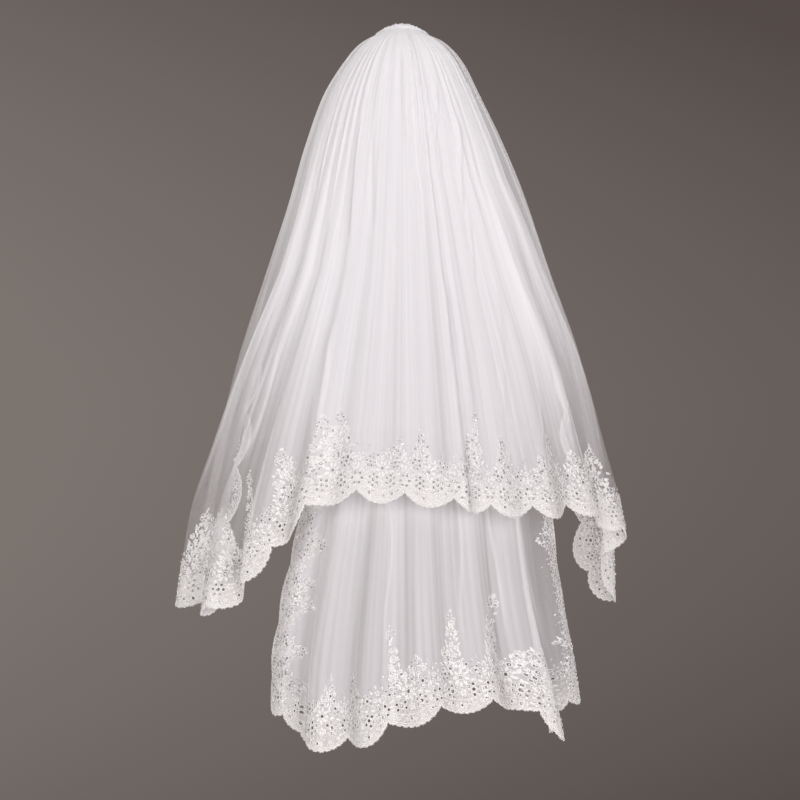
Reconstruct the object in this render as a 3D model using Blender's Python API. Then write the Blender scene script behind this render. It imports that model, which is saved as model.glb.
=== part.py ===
"""Two-tier bridal veil on a hair comb, as worn.

Each tier is one sheet of net, gathered along its top edge and edged with a band of scalloped lace.
Metres, +Z up. The wearer faces +Y, so the back of the veil faces -Y, and its left side as seen from
behind is at -X. The origin lies in the comb's bar, where the head holds the veil.

Cloth coordinates: "across" runs along the hem from the centre back, negative to the left, and "drop"
runs down from the gathered line. place() turns them into the draped surface, so that net and lace
share it. Every piece is drawn flat in cloth coordinates and then draped and given its thickness.
"""

import math
from collections import namedtuple

import bpy
import numpy as np
from mathutils import Vector
from mathutils.geometry import delaunay_2d_cdt

# Driving dimensions
NET_WALL = 0.0010
LACE_WALL = 0.0012
SEAM_GAP = 0.00045  # between pieces that are sewn edge to edge
GATHERED_LINE_Z = 0.0020  # height of the middle of both tiers' top edges
# The comb and the gathered line arch over the head: their ends lie this much lower, which fades
# down to a level section.
ARCH = 0.011
ARCH_FADES_AT = 0.100

# A level section of a tier: half widths to the left and right, how deep it is behind and in front of
# the widest point, and how far round from the centre back each side reaches, in degrees.
Section = namedtuple("Section", "drop left right back front wrap_left wrap_right")
# A ridge or valley of the folds, at the hem: how far it stands out from the section (inwards if
# negative), how far its crest leans along the section, and the drop where it begins.
Turn = namedtuple("Turn", "across out along start")
HemPoint = namedtuple("HemPoint", "across drop")
# Height of the fine gathers, which fade as the net falls.
Gather = namedtuple("Gather", "drop height")
Tier = namedtuple(
    "Tier",
    "name sections turns hem folds_full gather_count gather_heights lace_start corner rows",
)

UPPER = Tier(
    name="upper",
    sections=(
        Section(0.000, 0.0430, 0.0435, 0.0085, 0.004, 98, 98),
        Section(0.010, 0.0600, 0.0630, 0.0300, 0.014, 100, 100),
        Section(0.025, 0.0760, 0.0795, 0.0530, 0.028, 103, 103),
        Section(0.045, 0.0900, 0.0940, 0.0750, 0.040, 106, 106),
        Section(0.100, 0.1215, 0.1195, 0.1120, 0.060, 110, 110),
        Section(0.180, 0.1520, 0.1580, 0.1400, 0.070, 113, 113),
        Section(0.280, 0.1810, 0.1990, 0.1540, 0.082, 116, 116),
        Section(0.400, 0.2180, 0.2370, 0.1680, 0.104, 118, 118),
        Section(0.530, 0.2590, 0.2790, 0.1880, 0.128, 120, 120),
        Section(0.660, 0.2920, 0.3060, 0.2130, 0.150, 122, 122),
        Section(0.780, 0.3190, 0.3310, 0.2380, 0.166, 123, 123),
        Section(0.940, 0.3350, 0.3370, 0.2620, 0.176, 124, 124),
    ),
    turns=(
        Turn(-0.760, 0.000, 0.000, 0.30),
        Turn(-0.700, 0.016, 0.000, 0.30),
        Turn(-0.622, -0.020, 0.000, 0.25),
        Turn(-0.540, 0.030, 0.004, 0.15),
        Turn(-0.470, -0.018, 0.000, 0.20),
        Turn(-0.403, 0.022, -0.004, 0.20),
        Turn(-0.346, -0.012, 0.000, 0.25),
        Turn(-0.294, 0.020, -0.004, 0.20),
        Turn(-0.236, -0.010, 0.000, 0.25),
        Turn(-0.190, 0.012, 0.000, 0.15),
        Turn(-0.142, -0.006, 0.000, 0.20),
        Turn(-0.090, 0.007, 0.000, 0.10),
        Turn(-0.038, -0.006, 0.000, 0.15),
        Turn(0.010, 0.006, 0.000, 0.12),
        Turn(0.057, -0.005, 0.000, 0.20),
        Turn(0.114, 0.014, 0.005, 0.12),
        Turn(0.157, -0.011, 0.000, 0.15),
        Turn(0.209, 0.007, 0.000, 0.20),
        Turn(0.261, -0.006, 0.000, 0.20),
        Turn(0.313, 0.009, 0.000, 0.15),
        Turn(0.370, -0.008, 0.000, 0.20),
        Turn(0.428, 0.013, 0.000, 0.15),
        Turn(0.490, -0.014, 0.000, 0.20),
        Turn(0.562, 0.026, 0.000, 0.12),
        Turn(0.622, -0.016, 0.000, 0.20),
        Turn(0.688, 0.026, 0.004, 0.30),
        Turn(0.760, 0.000, 0.000, 0.30),
    ),
    hem=(
        HemPoint(-0.760, 0.925),
        HemPoint(-0.560, 0.918),
        HemPoint(-0.470, 0.922),
        HemPoint(-0.400, 0.930),
        HemPoint(-0.350, 0.908),
        HemPoint(-0.305, 0.885),
        HemPoint(-0.260, 0.850),
        HemPoint(-0.215, 0.805),
        HemPoint(-0.170, 0.765),
        HemPoint(-0.120, 0.750),
        HemPoint(-0.040, 0.750),
        HemPoint(0.060, 0.757),
        HemPoint(0.170, 0.770),
        HemPoint(0.300, 0.775),
        HemPoint(0.440, 0.777),
        HemPoint(0.500, 0.792),
        HemPoint(0.540, 0.812),
        HemPoint(0.580, 0.822),
        HemPoint(0.630, 0.870),
        HemPoint(0.670, 0.920),
        HemPoint(0.760, 0.930),
    ),
    folds_full=0.86,
    gather_count=24,
    gather_heights=(
        Gather(0.00, 0.0003),
        Gather(0.02, 0.0009),
        Gather(0.08, 0.0022),
        Gather(0.20, 0.0020),
        Gather(0.38, 0.0008),
        Gather(0.52, 0.0),
        Gather(1.00, 0.0),
    ),
    lace_start=0.52,
    corner=0.10,
    rows=(0, 0.005, 0.014, 0.032, 0.07, 0.14, 0.25, 0.38, 0.52, 0.62),
)
LOWER = Tier(
    name="lower",
    sections=(
        Section(0.000, 0.0395, 0.0400, 0.0038, 0.003, 84, 84),
        Section(0.010, 0.0530, 0.0560, 0.0215, 0.010, 82, 82),
        Section(0.025, 0.0680, 0.0715, 0.0440, 0.020, 80, 80),
        Section(0.045, 0.0815, 0.0855, 0.0650, 0.030, 80, 80),
        Section(0.100, 0.1100, 0.1080, 0.1010, 0.040, 76, 78),
        Section(0.180, 0.1360, 0.1420, 0.1270, 0.045, 72, 76),
        Section(0.300, 0.1600, 0.1780, 0.1420, 0.050, 66, 75),
        Section(0.450, 0.1680, 0.2050, 0.1530, 0.050, 57, 75),
        Section(0.600, 0.1720, 0.2250, 0.1720, 0.050, 54, 76),
        Section(0.750, 0.1820, 0.2400, 0.1960, 0.050, 58, 78),
        Section(0.880, 0.2050, 0.2540, 0.2200, 0.050, 64, 80),
        Section(1.000, 0.2200, 0.2720, 0.2450, 0.060, 68, 84),
        Section(1.150, 0.2250, 0.2860, 0.2700, 0.070, 68, 88),
    ),
    turns=(
        Turn(-0.340, 0.000, 0.000, 0.30),
        Turn(-0.285, 0.010, 0.000, 0.30),
        Turn(-0.225, -0.014, 0.000, 0.25),
        Turn(-0.165, 0.016, 0.000, 0.20),
        Turn(-0.110, -0.010, 0.000, 0.20),
        Turn(-0.060, 0.009, 0.000, 0.15),
        Turn(-0.010, -0.007, 0.000, 0.20),
        Turn(0.045, 0.008, 0.000, 0.15),
        Turn(0.100, -0.008, 0.000, 0.20),
        Turn(0.160, 0.010, 0.000, 0.20),
        Turn(0.215, -0.012, 0.000, 0.25),
        Turn(0.280, 0.024, 0.006, 0.20),
        Turn(0.350, -0.018, 0.000, 0.25),
        Turn(0.415, 0.012, 0.000, 0.30),
        Turn(0.480, 0.000, 0.000, 0.30),
    ),
    hem=(
        HemPoint(-0.340, 1.105),
        HemPoint(-0.260, 1.110),
        HemPoint(-0.200, 1.123),
        HemPoint(-0.120, 1.125),
        HemPoint(-0.060, 1.115),
        HemPoint(0.000, 1.092),
        HemPoint(0.080, 1.072),
        HemPoint(0.160, 1.066),
        HemPoint(0.220, 1.070),
        HemPoint(0.265, 1.100),
        HemPoint(0.305, 1.124),
        HemPoint(0.350, 1.112),
        HemPoint(0.400, 1.092),
        HemPoint(0.480, 1.085),
    ),
    folds_full=1.05,
    gather_count=20,
    gather_heights=(
        Gather(0.00, 0.0002),
        Gather(0.02, 0.0006),
        Gather(0.08, 0.0014),
        Gather(0.20, 0.0020),
        Gather(0.38, 0.0010),
        Gather(0.60, 0.0),
        Gather(1.20, 0.0),
    ),
    lace_start=0.58,
    corner=0.11,
    rows=(0, 0.004, 0.012, 0.030, 0.065, 0.13, 0.24, 0.40, 0.58, 0.68, 0.76, 0.86),
)
TIERS = (UPPER, LOWER)

# The cut edge near each side isn't gathered: this width of cloth keeps its size all the way down.
EDGE_STRIP = 0.16
MOST_STRIP_SHARE = 0.38
ARC_STEPS = 32
FOLD_GROWTH = 1.15  # above 1, a fold deepens faster towards the hem
FOLD_STEPS = 1200  # across the cut, for the lengths that the folds take up
LEAST_ADVANCE = 0.15  # of a fold's steepest slope, as a share of level cloth
NORMAL_REACH = 0.001  # half the distance over which a normal is measured

# The lace edging
BAND = 0.088  # from the scallops' tips to the seam with the net
TAPER = 0.100  # drop over which the lace grows from nothing to its full width
SCALLOP_PITCH = 0.090
SCALLOP_NOTCH = 0.020
SCALLOP_STEPS = 6
SCALLOP_FULLNESS = 0.8
EDGE_STEPS_SIDE = 40  # of the cut edge's path down each side, along the hem and round a corner
EDGE_STEPS_HEM = 400
EDGE_STEPS_CORNER = 24
TANGENT_REACH = 0.004
SIDE_STEP = 0.022  # between points of the seam along the sides
ROW_CLEARANCE = 0.010  # least drop between a row of the net and its seam
MID_ROWS = (0.034, 0.062)  # distances from the scallops' tips
MID_STEP = 0.020
MID_ROOM = 0.008
EYELET_RADIUS = 0.0030
EYELET_SIDES = 6
EYELET_ROOM = 0.009  # least distance from its middle to the lace's edges and to other eyelets
Eyelet = namedtuple("Eyelet", "along inwards")  # from the middle of its scallop's tip
EYELETS = (Eyelet(-0.017, 0.034), Eyelet(0.0, 0.052), Eyelet(0.017, 0.034))

# The notches where the edging is joined, counted in scallops from its left start
LACE_SPLITS = {"upper": (6, 18), "lower": (6, 14)}

# The comb and the gathered heading
BAR_LENGTH = 0.072
BAR_HEIGHT = 0.006
TOOTH_COUNT = 16
TOOTH_LENGTH = 0.036
TOOTH_SHARE = 0.42  # of the pitch
TOOTH_STEPS = 2
TOOTH_NARROWS = 0.3  # share of its width that a tooth loses in each step
BAR_SHOULDER = 0.001  # of the bar beyond the outermost teeth
BAR_STEPS = 8
COMB_WALL = 0.0020
COMB_CURVE = 0.090  # radius of the head that the teeth follow
HEADING_BASE_Z = GATHERED_LINE_Z + 0.0012  # its underside, just above the net
HEADING_HALF_LENGTH = 0.042
HEADING_HALF_DEPTH = 0.0075
HEADING_MIDDLE_Y = -0.0010
HEADING_HEIGHT = 0.0058
HEADING_RINGS = 24
HEADING_SIDES = 7
HEADING_RUFFLE = 0.0012
HEADING_END_SHARE = 0.15  # of its height that is left at the ends

Finish = namedtuple("Finish", "name colour roughness metallic")
NET = Finish("soft_net", (0.86, 0.85, 0.85), 0.75, 0.0)
LACE = Finish("corded_lace", (0.93, 0.92, 0.90), 0.6, 0.0)
CLEAR_COMB = Finish("clear_comb", (0.82, 0.84, 0.86), 0.25, 0.0)


def clear_scene():
    for thing in list(bpy.data.objects):
        bpy.data.objects.remove(thing, do_unlink=True)


def material_of(finish):
    made = bpy.data.materials.get(finish.name)
    if made is None:
        made = bpy.data.materials.new(finish.name)
        made.use_nodes = True
        shader = made.node_tree.nodes["Principled BSDF"]
        shader.inputs["Base Color"].default_value = (*finish.colour, 1.0)
        shader.inputs["Roughness"].default_value = finish.roughness
        shader.inputs["Metallic"].default_value = finish.metallic
    return made


def add_object(name, points, faces, finish):
    mesh = bpy.data.meshes.new(name)
    mesh.from_pydata([tuple(map(float, p)) for p in points], [], faces)
    mesh.validate()
    mesh.materials.append(material_of(finish))
    mesh.shade_smooth()
    mesh.set_sharp_from_angle(angle=math.radians(60))
    made = bpy.data.objects.new(name, mesh)
    bpy.context.scene.collection.objects.link(made)
    return made


# ---------------------------------------------------------------- the draped surface


def smooth(rows, column, x):
    """A named column of a table at x, on a smooth curve through its rows."""
    at = np.array([row[0] for row in rows])
    value = np.array([getattr(row, column) for row in rows], dtype=float)
    slope = np.gradient(value, at)
    k = np.clip(np.searchsorted(at, x) - 1, 0, len(at) - 2)
    width = at[k + 1] - at[k]
    t = np.clip((x - at[k]) / width, 0, 1)
    start = (2 * t**3 - 3 * t**2 + 1) * value[k] + (t**3 - 2 * t**2 + t) * width * slope[k]
    end = (3 * t**2 - 2 * t**3) * value[k + 1] + (t**3 - t**2) * width * slope[k + 1]
    return start + end


def eased(rows, column, x):
    """A named column of a table at x, level at every row and eased between them."""
    at = np.array([row[0] for row in rows])
    value = np.array([getattr(row, column) for row in rows], dtype=float)
    k = np.clip(np.searchsorted(at, x) - 1, 0, len(at) - 2)
    t = np.clip((x - at[k]) / (at[k + 1] - at[k]), 0, 1)
    return value[k] + (value[k + 1] - value[k]) * (1 - np.cos(np.pi * t)) / 2


def cut_left(tier):
    return -tier.turns[0].across


def cut_right(tier):
    return tier.turns[-1].across


def share_round(tier, across):
    """How far round the section a point lies: -1 at the left edge, 0 at the centre back, 1 at the
    right edge. Cloth on the slope of a fold goes less far round than level cloth."""
    fine = np.linspace(-cut_left(tier), cut_right(tier), FOLD_STEPS + 1)
    slope = np.gradient(eased(tier.turns, "out", fine), fine)
    advance = np.sqrt(np.clip(1 - slope**2, LEAST_ADVANCE, 1))
    steps = (advance[1:] + advance[:-1]) / 2 * np.diff(fine)
    run = np.concatenate([[0], np.cumsum(steps)])
    run -= np.interp(0, fine, run)
    return np.interp(across, fine, np.where(run < 0, run / -run[0], run / run[-1]))


def arcs(tier, side, drop):
    """Each drop's section on one side: its angles and half width, its depths behind and in front,
    and the length that it has run at each angle, all from the centre back."""
    to_left = side < 0
    width = np.where(to_left, smooth(tier.sections, "left", drop), smooth(tier.sections, "right", drop))
    wrap = np.where(
        to_left,
        smooth(tier.sections, "wrap_left", drop),
        smooth(tier.sections, "wrap_right", drop),
    )
    angle = np.radians(wrap)[:, None] * np.linspace(0, 1, ARC_STEPS + 1)
    back = smooth(tier.sections, "back", drop)[:, None]
    front = smooth(tier.sections, "front", drop)[:, None]
    depth = np.where(angle < np.pi / 2, back, front)
    x = width[:, None] * np.sin(angle)
    y = -depth * np.cos(angle)
    step = np.hypot(np.diff(x, axis=1), np.diff(y, axis=1))
    run = np.concatenate([np.zeros((len(drop), 1)), np.cumsum(step, axis=1)], axis=1)
    return angle, width, back[:, 0], front[:, 0], run


def spot(tier, across, drop):
    """The folded surface without its fine gathers."""
    flat_share = share_round(tier, across)
    side = np.where(flat_share < 0, -1.0, 1.0)
    angle, width, back, front, run = arcs(tier, side, drop)
    length = run[:, -1]

    # near the side edges the cloth keeps its width
    hem_drop = np.full(2, tier.hem[0].drop)
    hem_run = arcs(tier, np.array([-1.0, 1.0]), hem_drop)[4][:, -1]
    hem_length = np.where(side < 0, hem_run[0], hem_run[1])
    strip_left = 1 + share_round(tier, -cut_left(tier) + EDGE_STRIP)
    strip_right = 1 - share_round(tier, cut_right(tier) - EDGE_STRIP)
    strip_at_hem = np.where(side < 0, strip_left, strip_right)
    strip = np.clip(strip_at_hem * hem_length / length, strip_at_hem, MOST_STRIP_SHARE)
    strip = np.maximum(strip, strip_at_hem)
    s = np.abs(flat_share)
    share = np.where(
        s > 1 - strip_at_hem,
        1 - (1 - s) * strip / strip_at_hem,
        s * (1 - strip) / (1 - strip_at_hem),
    )

    # where that share of the section's length lies
    target = share * length
    rows = np.arange(len(drop))
    k = np.clip((run < target[:, None]).sum(axis=1) - 1, 0, ARC_STEPS - 1)
    part = np.clip((target - run[rows, k]) / (run[rows, k + 1] - run[rows, k]), 0, 1)
    at = angle[rows, k] + part * (angle[rows, k + 1] - angle[rows, k])
    depth = np.where(at < np.pi / 2, back, front)
    tangent = np.stack([width * np.cos(at) * side, depth * np.sin(at)], axis=1)
    tangent /= np.linalg.norm(tangent, axis=1)[:, None]
    outward = np.stack([tangent[:, 1] * side, -tangent[:, 0] * side], axis=1)

    start = eased(tier.turns, "start", across)
    grown = np.clip((drop - start) / (tier.folds_full - start), 0, 1.1) ** FOLD_GROWTH
    out = eased(tier.turns, "out", across) * grown
    along = eased(tier.turns, "along", across) * grown
    x = width * np.sin(at) * side + outward[:, 0] * out + tangent[:, 0] * along * side
    y = -depth * np.cos(at) + outward[:, 1] * out + tangent[:, 1] * along * side
    arch = ARCH * (x / width) ** 2 * np.clip(1 - drop / ARCH_FADES_AT, 0, 1)
    return np.stack([x, y, GATHERED_LINE_Z - drop - arch], axis=1)


def place(tier, across, drop):
    """Points of the draped surface and its outward normals."""
    reach = NORMAL_REACH
    across = np.asarray(across, float)
    drop = np.asarray(drop, float)
    point = spot(tier, across, drop)
    over = spot(tier, across + reach, drop) - spot(tier, across - reach, drop)
    down = spot(tier, across, drop + reach) - spot(tier, across, np.maximum(drop - reach, 0))
    normal = np.cross(down, over)
    normal /= np.linalg.norm(normal, axis=1)[:, None]
    phase = (across + cut_left(tier)) / (cut_left(tier) + cut_right(tier)) * tier.gather_count
    height = smooth(tier.gather_heights, "height", drop)
    point = point + normal * (height * np.cos(2 * np.pi * phase))[:, None]
    return point, normal


# ---------------------------------------------------------------- flat pieces made into walls


def drape_wall(name, surface, flat, faces, thickness, finish):
    """A closed wall over a flat triangulated piece. `surface` gives points and normals."""
    flat = np.array(flat)
    points, normals = surface(flat[:, 0], flat[:, 1])
    outer = points + normals * thickness / 2
    inner = points - normals * thickness / 2
    faces = np.array(faces)
    a, b, c = flat[faces[:, 0]], flat[faces[:, 1]], flat[faces[:, 2]]
    turn = (b[:, 0] - a[:, 0]) * (c[:, 1] - a[:, 1]) - (b[:, 1] - a[:, 1]) * (c[:, 0] - a[:, 0])
    faces[turn > 0] = faces[turn > 0][:, ::-1]
    count = len(flat)
    edges = {(f[i], f[(i + 1) % 3]) for f in faces.tolist() for i in range(3)}
    rim = []
    for start, end in sorted(edges):
        if (end, start) not in edges:
            rim.append((end, start, start + count))
            rim.append((end, start + count, end + count))
    shut = [*map(tuple, faces.tolist()), *map(tuple, (faces[:, ::-1] + count).tolist()), *rim]
    return add_object(name, np.concatenate([outer, inner]), shut, finish)


def zip_between(left, right, flat):
    """Triangles between two lists of points that run the same way down the cloth."""
    faces = []
    i = j = 0
    while i < len(left) - 1 or j < len(right) - 1:
        left_next = flat[left[i + 1]][1] if i < len(left) - 1 else math.inf
        right_next = flat[right[j + 1]][1] if j < len(right) - 1 else math.inf
        if left_next <= right_next:
            faces.append((left[i], left[i + 1], right[j]))
            i += 1
        else:
            faces.append((left[i], right[j + 1], right[j]))
            j += 1
    return faces


def fill_flat(outline, holes, inside):
    """Triangles that fill an outline round its holes, through the points inside."""
    points = [*outline]
    edges = [(i, (i + 1) % len(outline)) for i in range(len(outline))]
    for hole in holes:
        first = len(points)
        points += hole
        edges += [(first + i, first + (i + 1) % len(hole)) for i in range(len(hole))]
    points += inside
    made = delaunay_2d_cdt([Vector(p) for p in points], edges, [list(range(len(outline)))], 1, 1e-7)
    flat = [tuple(p) for p in made[0]]
    centres = [np.mean(hole, axis=0) for hole in holes]
    reach = [math.dist(hole[0], centre) for hole, centre in zip(holes, centres)]
    faces = []
    for face in made[2]:
        middle = np.mean([flat[i] for i in face], axis=0)
        if all(math.dist(middle, c) > r * 0.98 for c, r in zip(centres, reach)):
            faces.append(tuple(face))
    return flat, faces


# ---------------------------------------------------------------- the net of a tier


def inset(tier, drop):
    """Width of the lace beside the side edges at a drop."""
    return BAND * min(max((drop - tier.lace_start) / TAPER, 0), 1)


def seam_drop(tier, across, edge):
    """Where a line down the net meets the lace: on the taper near the sides, and elsewhere on the
    line that keeps the lace's width from the cut edge."""
    side_edge = cut_left(tier) if across < 0 else cut_right(tier)
    from_side = side_edge - abs(across)
    if from_side < BAND - 1e-6:
        return tier.lace_start + TAPER * from_side / BAND
    off = np.abs(edge.path[:, 0] - across)
    near = off < BAND * 0.999
    return float((edge.path[near, 1] - np.sqrt(BAND**2 - off[near] ** 2)).min())


def net_columns(tier, edge):
    """The net as columns of flat points from the gathered line to the seam, and the places of the
    two columns that run down beside the lace of the side edges."""
    across = np.linspace(-cut_left(tier), cut_right(tier), tier.gather_count * 4 + 1)
    left = int(np.argmin(np.abs(across + cut_left(tier) - BAND)))
    right = int(np.argmin(np.abs(cut_right(tier) - BAND - across)))
    across[left] = -cut_left(tier) + BAND
    across[right] = cut_right(tier) - BAND
    full = tier.lace_start + TAPER
    columns = []
    for i, at in enumerate(across):
        bottom = seam_drop(tier, at, edge)
        drops = [row for row in tier.rows if row < bottom - ROW_CLEARANCE]
        if i in (left, right):
            steps = round((bottom - full) / SIDE_STEP)
            drops = [row for row in tier.rows if row <= full]
            drops += [full + (bottom - full) * step / steps for step in range(1, steps)]
        columns.append([(float(at), drop) for drop in [*drops, bottom]])
    return columns, left, right


def build_net(tier, columns, left, right):
    flat = []
    lists = []
    for column in columns:
        lists.append(list(range(len(flat), len(flat) + len(column))))
        flat += column
    full = tier.lace_start + TAPER + 1e-6
    faces = []
    for i in range(len(columns) - 1):
        pair = [lists[i], lists[i + 1]]
        if i == left - 1:
            pair[1] = [k for k in pair[1] if flat[k][1] <= full]
        if i == right:
            pair[0] = [k for k in pair[0] if flat[k][1] <= full]
        faces += zip_between(*pair, flat)
    return drape_wall(
        f"{tier.name}_net", lambda a, d: place(tier, a, d), flat, faces, NET_WALL, NET
    )


# ---------------------------------------------------------------- the lace edging


class CutEdge:
    """The cut edge that the scallops' tips touch, measured from the lace's start on the left."""

    def __init__(self, tier):
        left, right, radius = -cut_left(tier), cut_right(tier), tier.corner
        low_left, low_right = tier.hem[0].drop - radius, tier.hem[-1].drop - radius
        turn = np.linspace(0, math.pi / 2, EDGE_STEPS_CORNER + 1)[1:-1]
        hem = np.linspace(left + radius, right - radius, EDGE_STEPS_HEM)
        path = [(left, d) for d in np.linspace(tier.lace_start, low_left, EDGE_STEPS_SIDE)]
        path += [
            (left + radius - radius * math.cos(t), low_left + radius * math.sin(t)) for t in turn
        ]
        path += list(zip(hem, smooth(tier.hem, "drop", hem)))
        path += [
            (right - radius + radius * math.sin(t), low_right + radius * math.cos(t)) for t in turn
        ]
        path += [(right, d) for d in np.linspace(low_right, tier.lace_start, EDGE_STEPS_SIDE)]
        self.path = np.array(path)
        step = np.linalg.norm(np.diff(self.path, axis=0), axis=1)
        self.run = np.concatenate([[0], np.cumsum(step)])
        self.length = self.run[-1]

    def at(self, s, inwards=0.0):
        """The flat point at s along the edge, moved inwards."""
        here = np.array([np.interp(s, self.run, self.path[:, i]) for i in (0, 1)])
        reach = TANGENT_REACH
        ahead = np.array([np.interp(s + reach, self.run, self.path[:, i]) for i in (0, 1)])
        behind = np.array([np.interp(s - reach, self.run, self.path[:, i]) for i in (0, 1)])
        tangent = (ahead - behind) / np.linalg.norm(ahead - behind)
        return tuple(here + inwards * np.array([tangent[1], -tangent[0]]))


def scallop_count(edge):
    return round(edge.length / SCALLOP_PITCH)


def scalloped(edge, s):
    """The flat point of the scalloped edge at s."""
    pitch = edge.length / scallop_count(edge)
    fullness = abs(math.sin(math.pi * s / pitch)) ** SCALLOP_FULLNESS
    from_end = min(s, edge.length - s)
    notch = SCALLOP_NOTCH * min(1, from_end / (pitch / 2))
    return edge.at(s, notch * (1 - fullness))


def beside(chain, distance):
    """A chain of flat points moved to its left-hand side, square to itself."""
    chain = np.array(chain)
    step = np.diff(chain, axis=0)
    step /= np.linalg.norm(step, axis=1)[:, None]
    joined = np.vstack([step[:1], step[1:] + step[:-1], step[-1:]])
    joined /= np.linalg.norm(joined, axis=1)[:, None]
    moved = chain + distance * np.stack([-joined[:, 1], joined[:, 0]], axis=1)
    return [tuple(p) for p in moved]


def seam_chain(tier, columns, left, right):
    """The net's edge that meets the lace, from the left start round the hem to the right one."""
    full = tier.lace_start + TAPER - 1e-6
    chain = [column[-1] for column in columns[:left]]
    chain += [p for p in columns[left] if p[1] >= full]
    chain += [column[-1] for column in columns[left + 1 : right]]
    chain += [p for p in reversed(columns[right]) if p[1] >= full]
    chain += [column[-1] for column in columns[right + 1 :]]
    return chain


def eyelets_of(tier, edge, first, last, outline):
    """Hole outlines for scallops first to last, where the lace has room round them."""
    pitch = edge.length / scallop_count(edge)
    holes = []
    centres = []
    for scallop in range(first, last):
        for eyelet in EYELETS:
            centre = edge.at((scallop + 0.5) * pitch + eyelet.along, eyelet.inwards)
            if not in_lace(tier, centre) or not clear_of(centre, outline + centres, EYELET_ROOM):
                continue
            centres.append(centre)
            turns = [2 * math.pi * (k + 0.5) / EYELET_SIDES for k in range(EYELET_SIDES)]
            holes.append(
                [
                    (
                        centre[0] + EYELET_RADIUS * math.cos(t),
                        centre[1] + EYELET_RADIUS * math.sin(t),
                    )
                    for t in turns
                ]
            )
    return holes


def clear_of(point, others, distance):
    return all(math.dist(point, other) > distance for other in others)


def build_lace(tier, edge, chain, splits):
    """The edging in three pieces, which meet where a notch between scallops is nearest."""
    count = scallop_count(edge)
    pitch = edge.length / count
    seam = beside(chain, SEAM_GAP)
    seam = [(min(max(a, -cut_left(tier)), cut_right(tier)), d) for a, d in seam]
    cuts = [0, *splits, count]
    feet = [0]
    for cut in splits:
        foot = edge.at(cut * pitch, BAND)
        feet.append(min(range(len(seam)), key=lambda i: math.dist(seam[i], foot)))
    feet.append(len(seam) - 1)
    for part, name in enumerate(("left", "hem", "right")):
        first, last = cuts[part], cuts[part + 1]
        stations = [
            (first + step / SCALLOP_STEPS) * pitch
            for step in range((last - first) * SCALLOP_STEPS + 1)
        ]
        tips = [scalloped(edge, s) for s in stations]
        inner = seam[feet[part] : feet[part + 1] + 1]
        tips[0], inner[0] = parted(tips[0], inner[0], tips[1], first > 0)
        tips[-1], inner[-1] = parted(tips[-1], inner[-1], tips[-2], last < count)
        if first == 0:
            tips = tips[1:]
        if last == count:
            tips = tips[:-1]
        outline = inner + tips[::-1]
        holes = eyelets_of(tier, edge, first, last, outline)
        taken = [*outline, *(point for hole in holes for point in hole)]
        inside = []
        for distance in MID_ROWS:
            steps = round((last - first) * pitch / MID_STEP)
            for step in range(1, steps):
                point = edge.at((first + (last - first) * step / steps) * pitch, distance)
                if clear_of(point, taken, MID_ROOM) and in_lace(tier, point):
                    inside.append(point)
        flat, faces = fill_flat(outline, holes, inside)
        drape_wall(
            f"{tier.name}_lace_{name}",
            lambda a, d: place(tier, a, d),
            flat,
            faces,
            LACE_WALL,
            LACE,
        )


def parted(tip, foot, towards, wanted):
    """The two ends of a cut across the lace, moved into the piece by half the gap."""
    if not wanted:
        return tip, foot
    line = np.array(foot) - np.array(tip)
    across_line = np.array([-line[1], line[0]]) / np.linalg.norm(line)
    if np.dot(np.array(towards) - np.array(tip), across_line) < 0:
        across_line = -across_line
    move = across_line * SEAM_GAP / 2
    return tuple(np.array(tip) + move), tuple(np.array(foot) + move)


def in_lace(tier, point):
    """False near the side edges where the taper leaves no room for the point."""
    across, drop = point
    from_side = (cut_left(tier) if across < 0 else cut_right(tier)) - abs(across)
    return drop > tier.lace_start + TAPER or from_side < inset(tier, drop) - EYELET_ROOM


# ---------------------------------------------------------------- the comb and the heading


def arch_at(x):
    """How far the gathered line lies below its middle."""
    return ARCH * (x / UPPER.sections[0].left) ** 2


def comb_surface(x, run):
    """The comb's middle surface: `run` goes down the bar and the teeth, curving to the head."""
    x, run = np.asarray(x, float), np.asarray(run, float)
    turn = run / COMB_CURVE
    top = HEADING_BASE_Z - SEAM_GAP - arch_at(x)
    y = -COMB_CURVE * (1 - np.cos(turn))
    points = np.stack([x, y, top - COMB_CURVE * np.sin(turn)], axis=1)
    normals = np.stack([np.zeros_like(x), -np.cos(turn), np.sin(turn)], axis=1)
    return points, normals


def build_comb():
    pitch = BAR_LENGTH / TOOTH_COUNT
    half = pitch * TOOTH_SHARE / 2
    steps = [BAR_HEIGHT + TOOTH_LENGTH * k / TOOTH_STEPS for k in range(TOOTH_STEPS + 1)]
    outline = [(-BAR_LENGTH / 2, 0.0)]
    for tooth in range(TOOTH_COUNT):
        x = -BAR_LENGTH / 2 + pitch * (tooth + 0.5)
        if tooth == 0:
            outline.append((x - half - BAR_SHOULDER, BAR_HEIGHT))
        down = [(x - half * (1 - TOOTH_NARROWS * k / TOOTH_STEPS), run) for k, run in enumerate(steps)]
        outline += down + [(2 * x - px, run) for px, run in reversed(down)]
    outline.append((x + half + BAR_SHOULDER, BAR_HEIGHT))
    outline.append((BAR_LENGTH / 2, 0.0))
    top = np.linspace(BAR_LENGTH / 2, -BAR_LENGTH / 2, BAR_STEPS + 1)[1:-1]
    outline += [(x, 0.0) for x in top]
    flat, faces = fill_flat(outline, [], [])
    return drape_wall("comb", comb_surface, flat, faces, COMB_WALL, CLEAR_COMB)


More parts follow.
